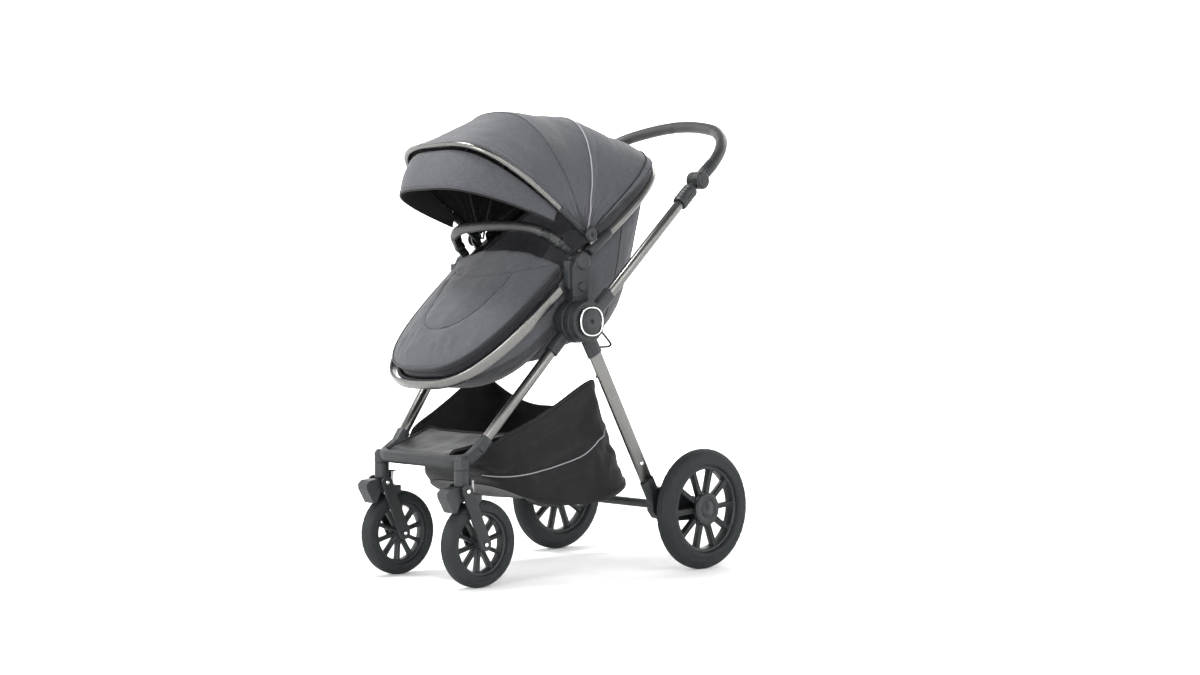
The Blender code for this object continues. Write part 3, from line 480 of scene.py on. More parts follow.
def loop_path(loop, first, start, count=60):
    """A superellipse loop from its start (across, distance) at +X round to -X."""
    points = [loop_point(loop, *start)]
    for i in range(count):
        angle = first + (pi / 2 - first) * i / (count - 1)
        x = loop[3] * max(cos(angle), 0.0) ** (2 / 3)
        points.append(loop_point(loop, x, loop[4] * sin(angle) ** (2 / 3)))
    points[-1].x = 0.0
    return mirrored(points)


for word, side in SIDES:
    top, foot = (at(side * p[0], p[1], p[2]) for p in (LEG_TOP, LEG_FOOT))
    put(tube(f"front_leg_tube_{word}", [top.lerp(foot, 0.2512), top.lerp(foot, 0.9288)], 0.0120, "metal", 40),
        "chassis", "gunmetal_tube", f"front_leg_{word}")
    put(tube(f"handle_tube_skin_{word}", [on_hub(HANDLE_ANGLE, d, side * HANDLE_X)
                                          for d in (0.0924, HANDLE_LENGTH - 0.0225)], 0.0120, "metal", 40),
        "handle", "gunmetal_tube", f"handle_tube_{word}")
    put(bar(f"rear_leg_tube_{word}", [on_hub(REAR_LEG_ANGLE, 0.0854, side * 0.2232),
                                      on_hub(REAR_LEG_ANGLE, 0.4196, side * 0.2175)],
            oval(0.0078, 0.0165, 40, 3.0), "metal", side=(1, 0, 0)),
        "rear_frame", "gunmetal_tube", f"rear_leg_{word}")
    rivet = [(0.0, side * 0.2245), (0.0046, side * 0.2245), (0.0046, side * 0.2266), (0.0030, side * 0.2276),
             (0.0, side * 0.2280)]
    put(lathe(f"rear_leg_rivet_{word}", rivet, at(0, 0.417, 0.253), "chrome", 32), "rear_frame", "gunmetal_tube")

foot_tube = bar("foot_loop_strip", loop_path(FOOT_LOOP, 0.25, (0.2000, 0.012)),
                oval(0.0045, 0.0120, 28, 3.2), "metal", side=(1, 0, 0))
put(foot_tube, "seat", "gunmetal_tube", "foot_frame")
for word, side in SIDES:
    hinge = loop_point(HEAD_LOOP, side * 0.2012, 0.036)
    tip = loop_point(HEAD_LOOP, side * 0.2012, 0.110)
    put(tube(f"head_sleeve_{word}", [hinge, hinge.lerp(tip, 0.35), tip], 0.0112, "plastic", 32,
             widths=(1, 1.04, 1)), "backrest", "black_plastic")
head_tube = tube("head_loop_tube", loop_path(HEAD_LOOP, 0.16, (0.2012, 0.036)), 0.0096, "metal", 28)
put(head_tube, "backrest", "gunmetal_tube")

# ---------------------------------------------------------------- handlebar and bumper bar
lean = radians(40.0)
GRIP = ((0.2455, 0.050), (0.2430, 0.080), (0.2300, 0.120), (0.2020, 0.162), (0.1580, 0.198), (0.1050, 0.218),
        (0.0500, 0.230), (0.0000, 0.2345))


def grip_point(x, s, height=0.0):
    return at(x, TILT_PIVOT[0] + s * cos(lean) - height * sin(lean),
              TILT_PIVOT[1] + s * sin(lean) + height * cos(lean))


grip = tube("handlebar_cover", mirrored(spline([grip_point(x, s) for x, s in GRIP], 10)), 0.0139, "leather", 32)
put(grip, "handlebar", "grip_leather")


def stitches(name, path, radius, pitch, material):
    """Row of short raised threads along a path."""
    parts, walked, start = [], 0.0, None
    for a, b in zip(path, path[1:]):
        walked += (b - a).length
        if start is None:
            start = a
        if walked > pitch:
            parts.append(tube(name, [start, start.lerp(b, 0.72)], radius, material, 6))
            walked, start = 0.0, None
    return joined(name, parts)


seam_path = mirrored(spline([grip_point(x * 0.945, s * 0.945 + 0.002, -0.0035) for x, s in GRIP], 24))
put(stitches("handlebar_stitching", seam_path, 0.0006, 0.0045, "thread"), "handlebar", "grip_leather")
for word, side in SIDES:
    put(tube(f"grip_sleeve_{word}", [grip_point(side * HANDLE_X, s) for s in (0.020, 0.034, 0.062)], 0.0150,
             "plastic", 32, widths=(0.96, 1.0, 1.0)), "handlebar", "black_plastic")
    cap = [(0.0, 0.2642), (0.0155, 0.2642), (0.0180, 0.2652), (0.0155, 0.2664), (0.0108, 0.2652), (0.0, 0.2652)]
    put(turned(f"tilt_cap_{word}", side, cap, at(0, *TILT_PIVOT), "plastic_gloss", 48),
        "handlebar", "black_plastic")

BUMPER = ((0.1805, 0.2290, 0.7340), (0.1790, 0.2130, 0.7480), (0.1660, 0.1900, 0.7670), (0.1420, 0.1700, 0.7820),
          (0.1020, 0.1560, 0.7900), (0.0500, 0.1500, 0.7930), (0.0, 0.1485, 0.7940))
bumper_half = spline([at(*p) for p in BUMPER], 12)
bumper = tube("bumper_cover", mirrored(bumper_half[12:]), 0.0119, "leather", 32)
put(bumper, "bumper", "grip_leather", "bumper_bar")
put(stitches("bumper_stitching", [p + Vector((0, 0.0105, -0.006)) for p in mirrored(bumper_half[30:])], 0.0006,
             0.0045, "thread"), "bumper", "grip_leather")
for word, side in SIDES:
    flip = [Vector((side * p.x, p.y, p.z)) for p in bumper_half]
    put(tube(f"bumper_end_{word}", flip[:14], 0.0104, "plastic", 28), "bumper", "black_plastic")
    for index, (first, last) in enumerate(((13, 17), (24, 32))):
        put(tube(f"bumper_collar_{word}_{index}", flip[first:last], 0.0131, "plastic_gloss", 32), "bumper",
            "black_plastic")

# ---------------------------------------------------------------- canopy
PANEL_SAG = ((112.0, 145.0, 0.0150), (78.0, 112.0, 0.0070))
BOW_ANGLE = ARCHES[-1][0]
BOW_SETBACK = 0.0072


def eased(share):
    """Turn round an arch, with its steps drawn towards the sides."""
    return pi * (share - 0.85 * sin(tau * share) / tau)


def crown_radius(angle):
    """Distance from the canopy's pivot to an arch's crown; the cloth sags between the bows."""
    angles, radii = zip(*ARCHES)
    radius = float(np.interp(angle, angles, radii))
    for low, high, sag in PANEL_SAG:
        if low < angle < high:
            radius -= sag * sin(pi * (angle - low) / (high - low)) ** 0.9
    return radius


def arch_point(angle, share, lift=0.0):
    """share runs from 0 at the left pivot to 1 at the right one."""
    power = 2.4 + 1.2 * min(abs(angle - 92.0) / 53.0, 1.0) ** 2
    turn = eased(share)
    c, s = cos(turn), sin(turn)
    across = (CANOPY_HALF_WIDTH + lift) * curved(c, power)
    radius = (crown_radius(angle) + lift) * max(s, 0.0) ** (2 / power)
    slope, shift = radians(angle), -BOW_SETBACK * smoothstep(134.0, BOW_ANGLE, angle)
    return at(across, CANOPY_PIVOT[0] + radius * cos(slope) - shift * sin(slope),
              CANOPY_PIVOT[1] + radius * sin(slope) + shift * cos(slope))


def canopy_cloth(angle, share, lift=0.0):
    """Arch surface with gathers near the pivots, tension lines from the bows and small creases."""
    near = 1 - smoothstep(0.10, 0.30, min(share, 1 - share))
    pleat = 0.0016 * near * sin(radians(angle) * 34 + 2 * sin(share * 40))
    creased = smoothstep(0.04, 0.16, min(share, 1 - share))
    crease = ripple((angle * 0.05, share * 9.0, 1.7), 1.6, 0.0016) * creased
    return arch_point(angle, share, lift + pleat + crease)


def canopy_rows(first, last, steps, start=0.030, columns=120, lift=0.0):
    return [[canopy_cloth(first + (last - first) * i / steps, start + (1 - 2 * start) * j / columns, lift)
             for j in range(columns + 1)] for i in range(steps + 1)]


def canopy_line(angle, lift, start=0.05, columns=160):
    return [canopy_cloth(angle, start + (1 - 2 * start) * j / columns, lift) for j in range(columns + 1)]


CANOPY_HEART = at(0, *CANOPY_PIVOT)
COVER_HEART = at(0, 0.10, 0.56)
canopy_sheet = cloth_panel("canopy_sheet", canopy_rows(BOW_ANGLE, 35.3, 110), 0.0018, ("cloth", "lining"),
                           CANOPY_HEART)
canopy_parts = [canopy_sheet,
                cloth_panel("canopy_band", canopy_rows(77.2, 71.8, 8, 0.06, lift=0.0008), 0.0008,
                            ("cloth_band", "cloth_band"), CANOPY_HEART),
                cloth_panel("canopy_rear_trim", canopy_rows(38.4, 35.0, 6, 0.05, lift=0.0014), 0.0016,
                            ("cloth_band", "cloth_band"), CANOPY_HEART),
                cloth_panel("canopy_front_hem", canopy_rows(145.2, 142.6, 5, 0.05, lift=0.0010), 0.0012,
                            ("cloth", "lining"), CANOPY_HEART),
                tube("canopy_piping", canopy_line(77.8, 0.0020), 0.0015, "piping", 8),
                tube("canopy_seam", canopy_line(112.0, 0.0006), 0.0011, "binding", 8),
                tube("canopy_zip", canopy_line(38.9, 0.0014), 0.0013, "lining", 8),
                tube("canopy_rear_edge", canopy_line(34.9, 0.0004), 0.0024, "binding", 8)]
for part in canopy_parts:
    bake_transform(part)
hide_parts("canopy_cover")

bow_shift = Vector((0, BOW_SETBACK * sin(radians(BOW_ANGLE)), -BOW_SETBACK * cos(radians(BOW_ANGLE))))
bow_path = [arch_point(BOW_ANGLE, 0.03 + 0.94 * i / 120) - bow_shift for i in range(121)]
put(tube("front_bow_tube", bow_path[6:-6], 0.0063, "metal", 24), "canopy_front", "gunmetal_tube",
    "canopy_front_bow")
for word, side in SIDES:
    ends = bow_path[:14] if side > 0 else bow_path[::-1][:14]
    put(tube(f"bow_end_{word}", [at(side * 0.191, *CANOPY_PIVOT), *ends[1:]], 0.0085, "plastic", 24),
        "canopy_front", "black_plastic")
    knob = [(0.0, 0.2062), (0.0150, 0.2062), (0.0165, 0.2075), (0.0165, 0.2100), (0.0145, 0.2118),
            (0.0100, 0.2118), (0.0085, 0.2110), (0.0, 0.2110)]
    put(turned(f"canopy_knob_{word}", side, knob, at(0, *CANOPY_PIVOT), "plastic_gloss", 48),
        "backrest", "black_plastic")

# ---------------------------------------------------------------- sun visor
VISOR_ANGLES = (147.6, 153.0, 158.0, 162.8)
VISOR_CROWNS = (0.3345, 0.3340, 0.3330, 0.3310)


def visor_point(t, share, lift=0.0):
    turn = eased(share)
    c, s = cos(turn), sin(turn)
    angle = 146.6 + 16.2 * t
    crown = float(np.interp(angle, VISOR_ANGLES, VISOR_CROWNS)) + 0.0030 * sin(pi * t) + lift
    across = (0.1825 + lift) * curved(c, 3.2)
    radius = crown * s ** (2 / 3.2) + ripple((share * 8.0, t * 2.0, 5.0), 1.3, 0.0012)
    slope = radians(angle)
    return at(across, CANOPY_PIVOT[0] + radius * cos(slope), CANOPY_PIVOT[1] + radius * sin(slope))


def visor_line(t, lift, start=0.15, columns=120):
    return [visor_point(t, start + (1 - 2 * start) * j / columns, lift) for j in range(columns + 1)]


visor = cloth_panel("visor_sheet", [visor_line(i / 24, 0.0) for i in range(25)], 0.0026, ("cloth", "lining"),
                    CANOPY_HEART)
put(visor, "visor", "grey_fabric", "sun_visor")
put(tube("visor_edge", visor_line(1.0, -0.0012), 0.0023, "lining", 10), "visor", "dark_fabric")
put(tube("visor_stitch", visor_line(0.93, 0.0003), 0.0005, "binding", 6), "visor", "dark_fabric")

# ---------------------------------------------------------------- cover over the leg section
COVER_HALF, COVER_LENGTH = BOOT_LOOP[3:]
YOKE_HALF, YOKE_REACH = 0.178, 0.085
TONGUE_HALF, TONGUE_LENGTH, TONGUE_POWER = 0.104, 0.246, 2.6


def cover_half(s):
    return COVER_HALF * max(1 - (s / COVER_LENGTH) ** 3, 0.0) ** (1 / 3)


def yoke_line(x):
    return YOKE_REACH * (1 - (x / YOKE_HALF) ** 2)


def seam_dip(level, width):
    return exp(-(level / width) ** 2)


def cover_height(x, s):
    """Crown of the padded cover, with its two seams, quilting and creases."""
    share = min(max(s / COVER_LENGTH, 0.0), 1.0)
    u = min(abs(x) / max(cover_half(s), 1e-4), 1.0)
    crown = 0.046 * (1 - 0.30 * share) * sqrt(max(1 - share ** 6, 0.0))
    rise = crown * (1 - u ** 2.6)
    inside = smoothstep(0.0, 0.25, 1 - u) * smoothstep(0.0, 0.12, 1 - share)
    reach = (abs(x) / TONGUE_HALF) ** TONGUE_POWER + (max(s, 0.0) / TONGUE_LENGTH) ** TONGUE_POWER
    tongue = (reach ** (1 / TONGUE_POWER) - 1) * 0.1
    yoke = s - yoke_line(x)
    if yoke > -0.003:
        rise -= 0.0042 * seam_dip(tongue, 0.0042) * inside
        rise += 0.0030 * smoothstep(0.0, 0.03, -tongue) * inside
    rise -= 0.0036 * seam_dip(yoke, 0.0040) * inside
    quilting = sin(x * tau / 0.026 + 1.5 * sin(s * 30)) * smoothstep(0.20, 0.28, s)
    rise += 0.0010 * quilting * inside
    rise += ripple((x, s, 0.3), 17.0, 0.0040) * inside + ripple((x, s, 4.3), 55.0, 0.0010) * inside
    return rise


def cover_point(x, s, lift=0.0):
    return loop_point(BOOT_LOOP, x, s, cover_height(x, s) + lift)


def cover_outline(turn):
    """Edge of the cover: turn runs 0..1 from the left neck corner round the toe to the right one."""
    angle = pi * turn
    c, s = cos(angle), max(sin(angle), 0.0)
    return COVER_HALF * curved(c, 3), COVER_LENGTH * s ** (2 / 3)


def cover_grid(across, along):
    """Rows from the neck to the toe; columns from side to side, all ending on the outline."""
    grid = []
    for i in range(along + 1):
        row = []
        for j in range(across + 1):
            u = sin(pi / 2 * (1 - 2 * j / across))
            x, reach = cover_outline(acos(max(min(u, 1.0), -1.0)) / pi)
            s = reach * sin(pi / 2 * i / along)
            row.append(cover_point(x, s))
        grid.append(row)
    return grid


edge_turns = [0.5 - 0.5 * copysign(abs(1 - 2 * i / 160) ** 1.15, 1 - 2 * i / 160) for i in range(161)]
edge = [cover_outline(t) for t in edge_turns]
cover = cloth_panel("boot_cover_top", cover_grid(96, 110), 0.0060, ("cloth", "lining"), COVER_HEART)
put(cover, "seat", "grey_fabric", "boot_cover")
band = [[loop_point(BOOT_LOOP, x * (1 - 0.020 * k / 6), s * (1 - 0.012 * k / 6),
                    -0.030 * k / 6 + ripple((x, s, k * 0.02), 30.0, 0.0012)) for x, s in edge] for k in range(7)]
put(cloth_panel("boot_cover_band", band, 0.0025, ("cloth_dark", "lining"), COVER_HEART), "seat", "dark_fabric")
put(tube("boot_cover_piping", [loop_point(BOOT_LOOP, x * 1.004, s * 1.004) for x, s in edge], 0.0026,
         "binding", 10), "seat", "grey_fabric")
put(tube("boot_cover_hem", band[-1], 0.0020, "lining", 8), "seat", "dark_fabric")
put(tube("boot_cover_zip", band[3], 0.0012, "lining", 8), "seat", "dark_fabric")
tongue_path = []
for i in range(121):
    angle = pi * (0.055 + 0.89 * i / 120)
    c, s = cos(angle), sin(angle)
    tongue_path.append(cover_point(TONGUE_HALF * curved(c, TONGUE_POWER),
                                   TONGUE_LENGTH * s ** (2 / TONGUE_POWER), 0.0006))
put(tube("boot_cover_seam", tongue_path, 0.0011, "binding", 8), "seat", "grey_fabric")
yoke_path = [cover_point(x, yoke_line(x), 0.0005) for x in (0.170 * (1 - 2 * i / 90) for i in range(91))]
put(tube("boot_cover_yoke_seam", yoke_path, 0.0010, "binding", 8), "seat", "grey_fabric")
put(tube("boot_cover_neck", [cover_point(0.183 * (1 - 2 * i / 90), 0.001, -0.001) for i in range(91)], 0.0032,
         "binding", 10), "seat", "grey_fabric")


# ---------------------------------------------------------------- tubs of the seat and the leg section
TUB_START, TUB_END, TUB_CRINKLE = 0.02, 0.99999, 0.0030
REAR_WALL = 0.11


def trough(loop, half_width, length, keel, rows, columns, boxiness):
    """Rows of a tub hung from a loop; keel gives the drop to its floor."""
    grid = []
    for i in range(rows + 1):
        share = TUB_START + (TUB_END - TUB_START) * sin(pi / 2 * i / rows)
        distance = length * share
        half = half_width * max(1 - share ** 3, 0.0) ** (1 / 3)
        top, drop = loop_point(loop, 0, distance), keel(distance, share)
        row = []
        for j in range(columns + 1):
            angle = pi * j / columns
            c, s = cos(angle), max(sin(angle), 0.0)
            x = half * curved(c, boxiness)
            depth = s ** (2 / boxiness)
            wrinkle = ripple((x, distance, depth * 0.2), 22.0, TUB_CRINKLE) * sin(pi * min(depth, 0.96))
            row.append(top + Vector((x * (1 + wrinkle * 4), 0, 0)) + drop * (depth + wrinkle * 3))
        grid.append(row)
    return grid


def leg_keel(_, share):
    return Vector((0, 0.01, -1)) * max(0.168 * (1 - share ** 1.8), 0.012)


def seat_keel(distance, share):
    top = loop_point(HEAD_LOOP, 0, distance)
    floor = at(0, 0.257 + 0.500 * distance, 0.512 + 0.115 * distance)
    return (floor - top) * max(1 - share ** 9, REAR_WALL) ** (1 / 5)


leg_grid = trough(FOOT_LOOP, 0.1835, 0.318, leg_keel, 60, 80, 2.4)
low = [abs(2 * j / 80 - 1) < 0.76 for j in range(80)]
leg = cloth_panel("leg_tub_cloth", leg_grid, 0.0035, ("cloth", "lining", "cloth_dark"), COVER_HEART,
                  row_bands=low)
put(leg, "seat", "grey_fabric", "leg_tub")
seat_grid = trough(HEAD_LOOP, 0.1832, 0.392, seat_keel, 72, 96, 4.6)
tub = cloth_panel("seat_tub_cloth", seat_grid, 0.0035, ("cloth", "cloth_band"), at(0, 0.40, 0.76))
put(tub, "backrest", "grey_fabric", "seat_tub")
for name, grid, body in (("leg_tub", leg_grid, "seat"), ("seat_tub", seat_grid, "backrest")):
    rim_path = [row[0] for row in grid] + [row[-1] for row in reversed(grid)]
    put(tube(f"{name}_rim_binding", rim_path, 0.0042, "binding", 10), body, "grey_fabric")
for row, name in ((24, "front"), (45, "rear")):
    outward = [p + Vector((copysign(0.0008, p.x), 0, -0.0006)) for p in seat_grid[row]]
    put(tube(f"seat_tub_seam_{name}", outward, 0.0011, "binding", 8), "backrest", "grey_fabric")
for column, name in ((int(0.20 * 80), "left"), (int(0.80 * 80), "right")):
    put(tube(f"leg_tub_seam_{name}", [row[column] for row in leg_grid], 0.0012, "binding", 8), "seat",
        "grey_fabric")

gap = [(seat_grid[0][round(96 * j / 60)], leg_grid[0][round(80 * j / 60)]) for j in range(61)]
bridge_rows = [[a.lerp(b, i / 12) + Vector((0, 0, -0.012 * sin(pi * i / 12)
                                            * sin(pi * j / 60) ** 0.7)) for j, (a, b) in enumerate(gap)]
               for i in range(13)]
bridge = cloth_panel("seat_bridge_cloth", bridge_rows, 0.0030, ("cloth", "lining"), at(0, 0.23, 0.75))
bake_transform(bridge)


# ---------------------------------------------------------------- seat pad
def cushion(name, foot, head, half_width, thickness, voxel, pressure, cap, material):
    """Slab between two points of the side plane, filled by a short cloth run."""
    foot, head = Vector(foot), Vector(head)
    run = (head - foot).normalized()
    rise = Vector((-run.y, run.x))
    middle, half_length = (foot + head) / 2, (head - foot).length / 2
    points, rings = [], 5
    outline = oval(half_width - 0.004, half_length - 0.004, 64, 5.0)
    for inset, lift in ((0.006, -0.5), (0.0, -0.3), (0.0, 0.0), (0.0, 0.3), (0.006, 0.5)):
        for x, s in outline:
            grow = 1 - inset / half_width
            spot = middle + run * s * grow + rise * lift * thickness
            points.append(at(x * grow, *spot))
    faces = [(i * 64 + j, i * 64 + (j + 1) % 64, (i + 1) * 64 + (j + 1) % 64, (i + 1) * 64 + j)
             for i in range(rings - 1) for j in range(64)]
    faces += [tuple(reversed(range(64))), tuple(range((rings - 1) * 64, rings * 64))]
    pad = piece(name, points, faces, [material])
    remesh = pad.modifiers.new("remesh", "REMESH")
    remesh.mode, remesh.voxel_size = "VOXEL", voxel
    settle(pad)
    before = np.array([tuple(v.co) for v in pad.data.vertices])
    cloth = pad.modifiers.new("cloth", "CLOTH")
    cloth.settings.quality = 5
    cloth.settings.mass = 0.25
    cloth.settings.use_pressure = True
    cloth.settings.uniform_pressure_force = pressure
    cloth.settings.tension_stiffness = cloth.settings.compression_stiffness = 12.0
    cloth.settings.effector_weights.gravity = 0.0
    for moment in range(1, 21):
        bpy.context.scene.frame_set(moment)
    settle(pad)
    after = np.array([tuple(v.co) for v in pad.data.vertices])
    moved = after - before
    size = np.linalg.norm(moved, axis=1, keepdims=True)
    after = before + moved * np.minimum(1.0, cap / np.maximum(size, 1e-9))
    pad.data.vertices.foreach_set("co", after.ravel())
    bpy.context.scene.frame_set(1)
    finer = pad.modifiers.new("finer", "SUBSURF")
    finer.levels = finer.render_levels = 1
    settle(pad)
    pad.data.polygons.foreach_set("use_smooth", [True] * len(pad.data.polygons))
    return pad


def settle(obj):
    """Make the modifiers' result the mesh."""
    depsgraph = bpy.context.evaluated_depsgraph_get()
    baked = bpy.data.meshes.new_from_object(obj.evaluated_get(depsgraph))
    obj.modifiers.clear()
    obj.data = baked


back_pad = cushion("back_pad", (0.302, 0.572), (0.492, 0.800), 0.135, 0.024, 0.006, 3.0, 0.006, "cloth_object")
put(back_pad, "backrest", "grey_fabric", "seat_pad")


# ---------------------------------------------------------------- cloth from canopy to head frame
def head_loop_at(point, height):
    """Point over the head frame's tube that lies beside a point of the canopy's rear edge."""
    angle = HEAD_LOOP[2]
    back, up = point.y - AXLE_Y - HEAD_LOOP[0], point.z - HEAD_LOOP[1]
    s = back * cos(angle) + up * sin(angle)
    turn = atan2((max(s, 0.0) / 0.400) ** 1.5, (abs(point.x) / CANOPY_HALF_WIDTH) ** 1.5)
    x = HEAD_LOOP[3] * max(cos(turn), 0.0) ** (2 / 3)
    return loop_point(HEAD_LOOP, copysign(x, point.x), HEAD_LOOP[4] * sin(turn) ** (2 / 3), height)


skirt_top = [canopy_cloth(36.2, 0.020 + 0.960 * j / 120, -0.0004) for j in range(121)]
skirt = [[p.lerp(head_loop_at(p, 0.004), k / 8) + Vector((copysign(0.003, p.x), 0, 0))
          * sin(pi * k / 8) for p in skirt_top] for k in range(9)]
skirt_sheet = cloth_panel("canopy_rear_skirt", skirt, 0.0015, ("cloth_dark", "lining"), CANOPY_HEART)
put(skirt_sheet, "backrest", "dark_fabric")


# ---------------------------------------------------------------- wheels
def tyre_profile(radius, seat, half_width):
    depth, profile = radius - seat, []
    for i in range(49):
        angle = pi * i / 48
        c, s = cos(angle), max(sin(angle), 0.0)
        x = -half_width * copysign(abs(c) ** 0.80, c)
        r = seat + depth * s ** 0.62
        share = abs(x) / half_width
        r -= 0.0016 * (seam_dip(share - 0.20, 0.035) + seam_dip(share - 0.56, 0.035)) * (s > 0.5)
        x *= 1 - 0.045 * seam_dip((r - seat) / depth - 0.42, 0.06)
        profile.append((r, x))
    return profile


def wheel(kind, word, side, centre, radius, seat, half_width, inner, rim_half, hub, spoke, first_spoke):
    body = f"{kind}_wheel_{word}"
    profile = tyre_profile(radius, seat, half_width)
    rubber = lathe(f"{kind}_tyre_skin_{word}", profile, centre, "tyre", 216,
                   lambda i, j: 0.0010 if i % 6 == 0 and abs(j - len(profile) // 2) in (9, 10, 11, 12) else 0.0)
    put(rubber, body, "tyre", f"{kind}_tyre_{word}")
    lip = 0.0022
    band = [(inner, -rim_half + 0.003), (inner - 0.001, 0.0), (inner, rim_half - 0.003),
            (inner + 0.001, rim_half), (seat + lip, rim_half + 0.0012),
            (seat + lip, rim_half - 0.001), (seat, rim_half - 0.002),
            (seat, -rim_half + 0.002), (seat + lip, -rim_half + 0.001), (seat + lip, -rim_half - 0.0012),
            (inner + 0.001, -rim_half)]
    hub_radius, near, far = hub
    wide = hub_radius * (1.27 if kind == "rear" else 1.0)
    cap = [(0.0, near), (hub_radius - 0.0015, near), (hub_radius, near + 0.0015), (hub_radius, far - 0.014),
           (wide, far - 0.011), (wide, far - 0.003), (wide - 0.001, far - 0.001), (wide - 0.003, far),
           (wide * 0.62, far + 0.0004), (wide * 0.60, far - 0.0006), (wide * 0.52, far - 0.0006),
           (wide * 0.50, far + 0.0008), (0.0, far + 0.0016)]
    parts = [lathe("band", band, centre, "rim", 128), turned("cap", side, cap, centre, "rim", 64)]
    width, low, high = spoke
    face = 0.0018
    section = [(-width / 2, low), (width / 2, low), (width / 2, high - face), (width / 3, high),
               (width / 6, high), (width / 8, high - face), (-width / 8, high - face),
               (-width / 6, high), (-width / 3, high),
               (-width / 2, high - face)]
    for i in range(10):
        angle = radians(first_spoke) + tau * i / 10
        out, flank = Vector((0, cos(angle), sin(angle))), Vector((0, -sin(angle), cos(angle)))
        reach = [hub_radius * 0.8, hub_radius * 1.15, (hub_radius + inner) / 2, inner - 0.003, inner + 0.002]
        shape = [(a, x * side * out.cross(flank).x) for a, x in section]
        parts.append(bar("spoke", [centre + out * r for r in reach], shape, "rim", side=flank,
                         widths=[1.25, 1.0, 0.94, 1.0, 1.25], ends=False))
    put(joined(f"{kind}_rim_skin_{word}", parts), body, "rim_plastic", f"{kind}_rim_{word}")


for word, side in SIDES:
    low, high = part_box(f"front_tyre_{word}")
    wheel("front", word, side, (Vector(low) + Vector(high)) / 2, FRONT_RADIUS, 0.0704, 0.0205, 0.0625, 0.0125,
          (0.0135, -0.0200, 0.0200), (0.0082, -0.0080, 0.0080), 14.0)
    low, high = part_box(f"rear_tyre_{word}")
    wheel("rear", word, side, (Vector(low) + Vector(high)) / 2, REAR_RADIUS, 0.1014, 0.0214, 0.0925, 0.0140,
          (0.0300, -0.0170, 0.0190), (0.0118, -0.0060, 0.0100), 4.0)

    # suspension coil, and the bolts of the fork
    turns, count = 6.5, 160
    middle = at(side * CASTOR[0], -0.0172, 0)
    coil = [middle + Vector((0.0046 * cos(tau * turns * i / count),
                             0.0046 * sin(tau * turns * i / count), 0.2078 + 0.0276 * i / count))
            for i in range(count + 1)]
    spring = tube(f"suspension_coil_{word}", coil, 0.0011, "spring", 10)
    put(spring, f"castor_{word}", "spring_steel", f"suspension_spring_{word}")
    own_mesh(spring)
    for name, (back, up) in (("fork_bolt", FORK_PIVOT), ("wheel_bolt", (0.0, FRONT_RADIUS))):
        for flip in (-1, 1):
            x = side * CASTOR[0] + flip * 0.0302
            bolt = [(0.0, x), (0.0046, x), (0.0046, x + flip * 0.0006), (0.0034, x + flip * 0.0015),
                    (0.0016, x + flip * 0.0015), (0.0014, x + flip * 0.0008), (0.0, x + flip * 0.0008)]
            put(lathe(f"{name}_{word}_{'out' if flip == side else 'in'}", bolt, at(0, back, up), "spring", 32),
                f"fork_{word}", "spring_steel")

    # folding hub's cap: domed face and bright squircle ring
    outline = oval(0.0322, 0.0308, 96, 2.4)
    ring = [at(side * 0.2590, HUB[0] + a, HUB[1] + b) for a, b in outline]
    put(tube(f"hub_ring_{word}", ring, 0.0017, "chrome", 12, closed=True), "handle", "hub_cap")
    dome = [(0.0, 0.2570), (0.0272, 0.2570), (0.0272, 0.2590), (0.0250, 0.2600), (0.0120, 0.2606), (0.0, 0.2608)]
    put(turned(f"hub_dome_{word}", side, dome, at(0, *HUB), "plastic_gloss", 64), "handle",
        "hub_cap")
    size = 0.0190
    cap = [(0.0, 0.2146), (size, 0.2146), (size, 0.2156), (size - 0.003, 0.2168), (size - 0.005, 0.2162),
           (0.004, 0.2166), (0.0, 0.2166)]
    put(turned(f"seat_pivot_cap_{word}", side, cap, at(0, *SEAT_PIVOT), "plastic_gloss", 56), "seat",
        "black_plastic")

    # wire bail behind the tub
    wire = spline([at(side * 0.2000, 0.262, 0.606), at(side * 0.2030, 0.300, 0.566),
                   at(side * 0.2030, 0.338, 0.530), at(side * 0.2030, 0.338, 0.523),
                   at(side * 0.2030, 0.328, 0.5205),
                   at(side * 0.2030, 0.290, 0.5205), at(side * 0.1960, 0.272, 0.5290)], 8)
    put(tube(f"bail_wire_{word}", wire, 0.0025, "plastic", 10), "seat", "black_plastic")


# ---------------------------------------------------------------- basket
SIDE_BACK, SIDE_UP = (0.0, 0.06, 0.16, 0.30, 0.34), (0.285, 0.330, 0.375, 0.462, 0.445)


def basket_point(angle, share, on_wall, lift=0.0):
    c, s = (copysign(abs(v) ** 0.42, v) for v in (cos(angle), sin(angle)))
    floor = Vector(((0.178 + 0.014 * s) * c, 0.262 + 0.190 * s, 0.165 + 0.05 * abs(s) ** 2.5))
    back = 0.163 + 0.173 * s
    end = 0.272 + 0.104 * (s + 1) / 2
    top = float(np.interp(back, SIDE_BACK, SIDE_UP))
    rim = Vector(((0.186 + 0.022 * s - 0.055 * max(-s, 0.0) ** 4) * c, back, end + (top - end) * abs(c) ** 2.5))
    out = Vector((c, s * 0.6, 0))
    if on_wall:
        point = floor.lerp(rim, share)
        slack = sin(pi * share)
        fold = ripple((point.x * 0.6, point.y, point.z * 1.7), 15.0, 0.0105)
        drape = 0.0022 * sin(point.y * 90 + 6 * share) * (1 - share)
        point += out * ((fold + drape - 0.006) * slack + lift)
    else:
        sag = ripple((floor.x * share, floor.y * share, 2.0), 14.0, 0.004) * (1 - share)
        point = Vector((floor.x * share, 0.262 + (floor.y - 0.262) * share,
                        floor.z * share + 0.165 * (1 - share) + sag))
    return at(*point)


def basket_ring(share, on_wall, lift=0.0, around=200):
    return [basket_point(tau * (i + 0.5) / around, share, on_wall, lift) for i in range(around)]


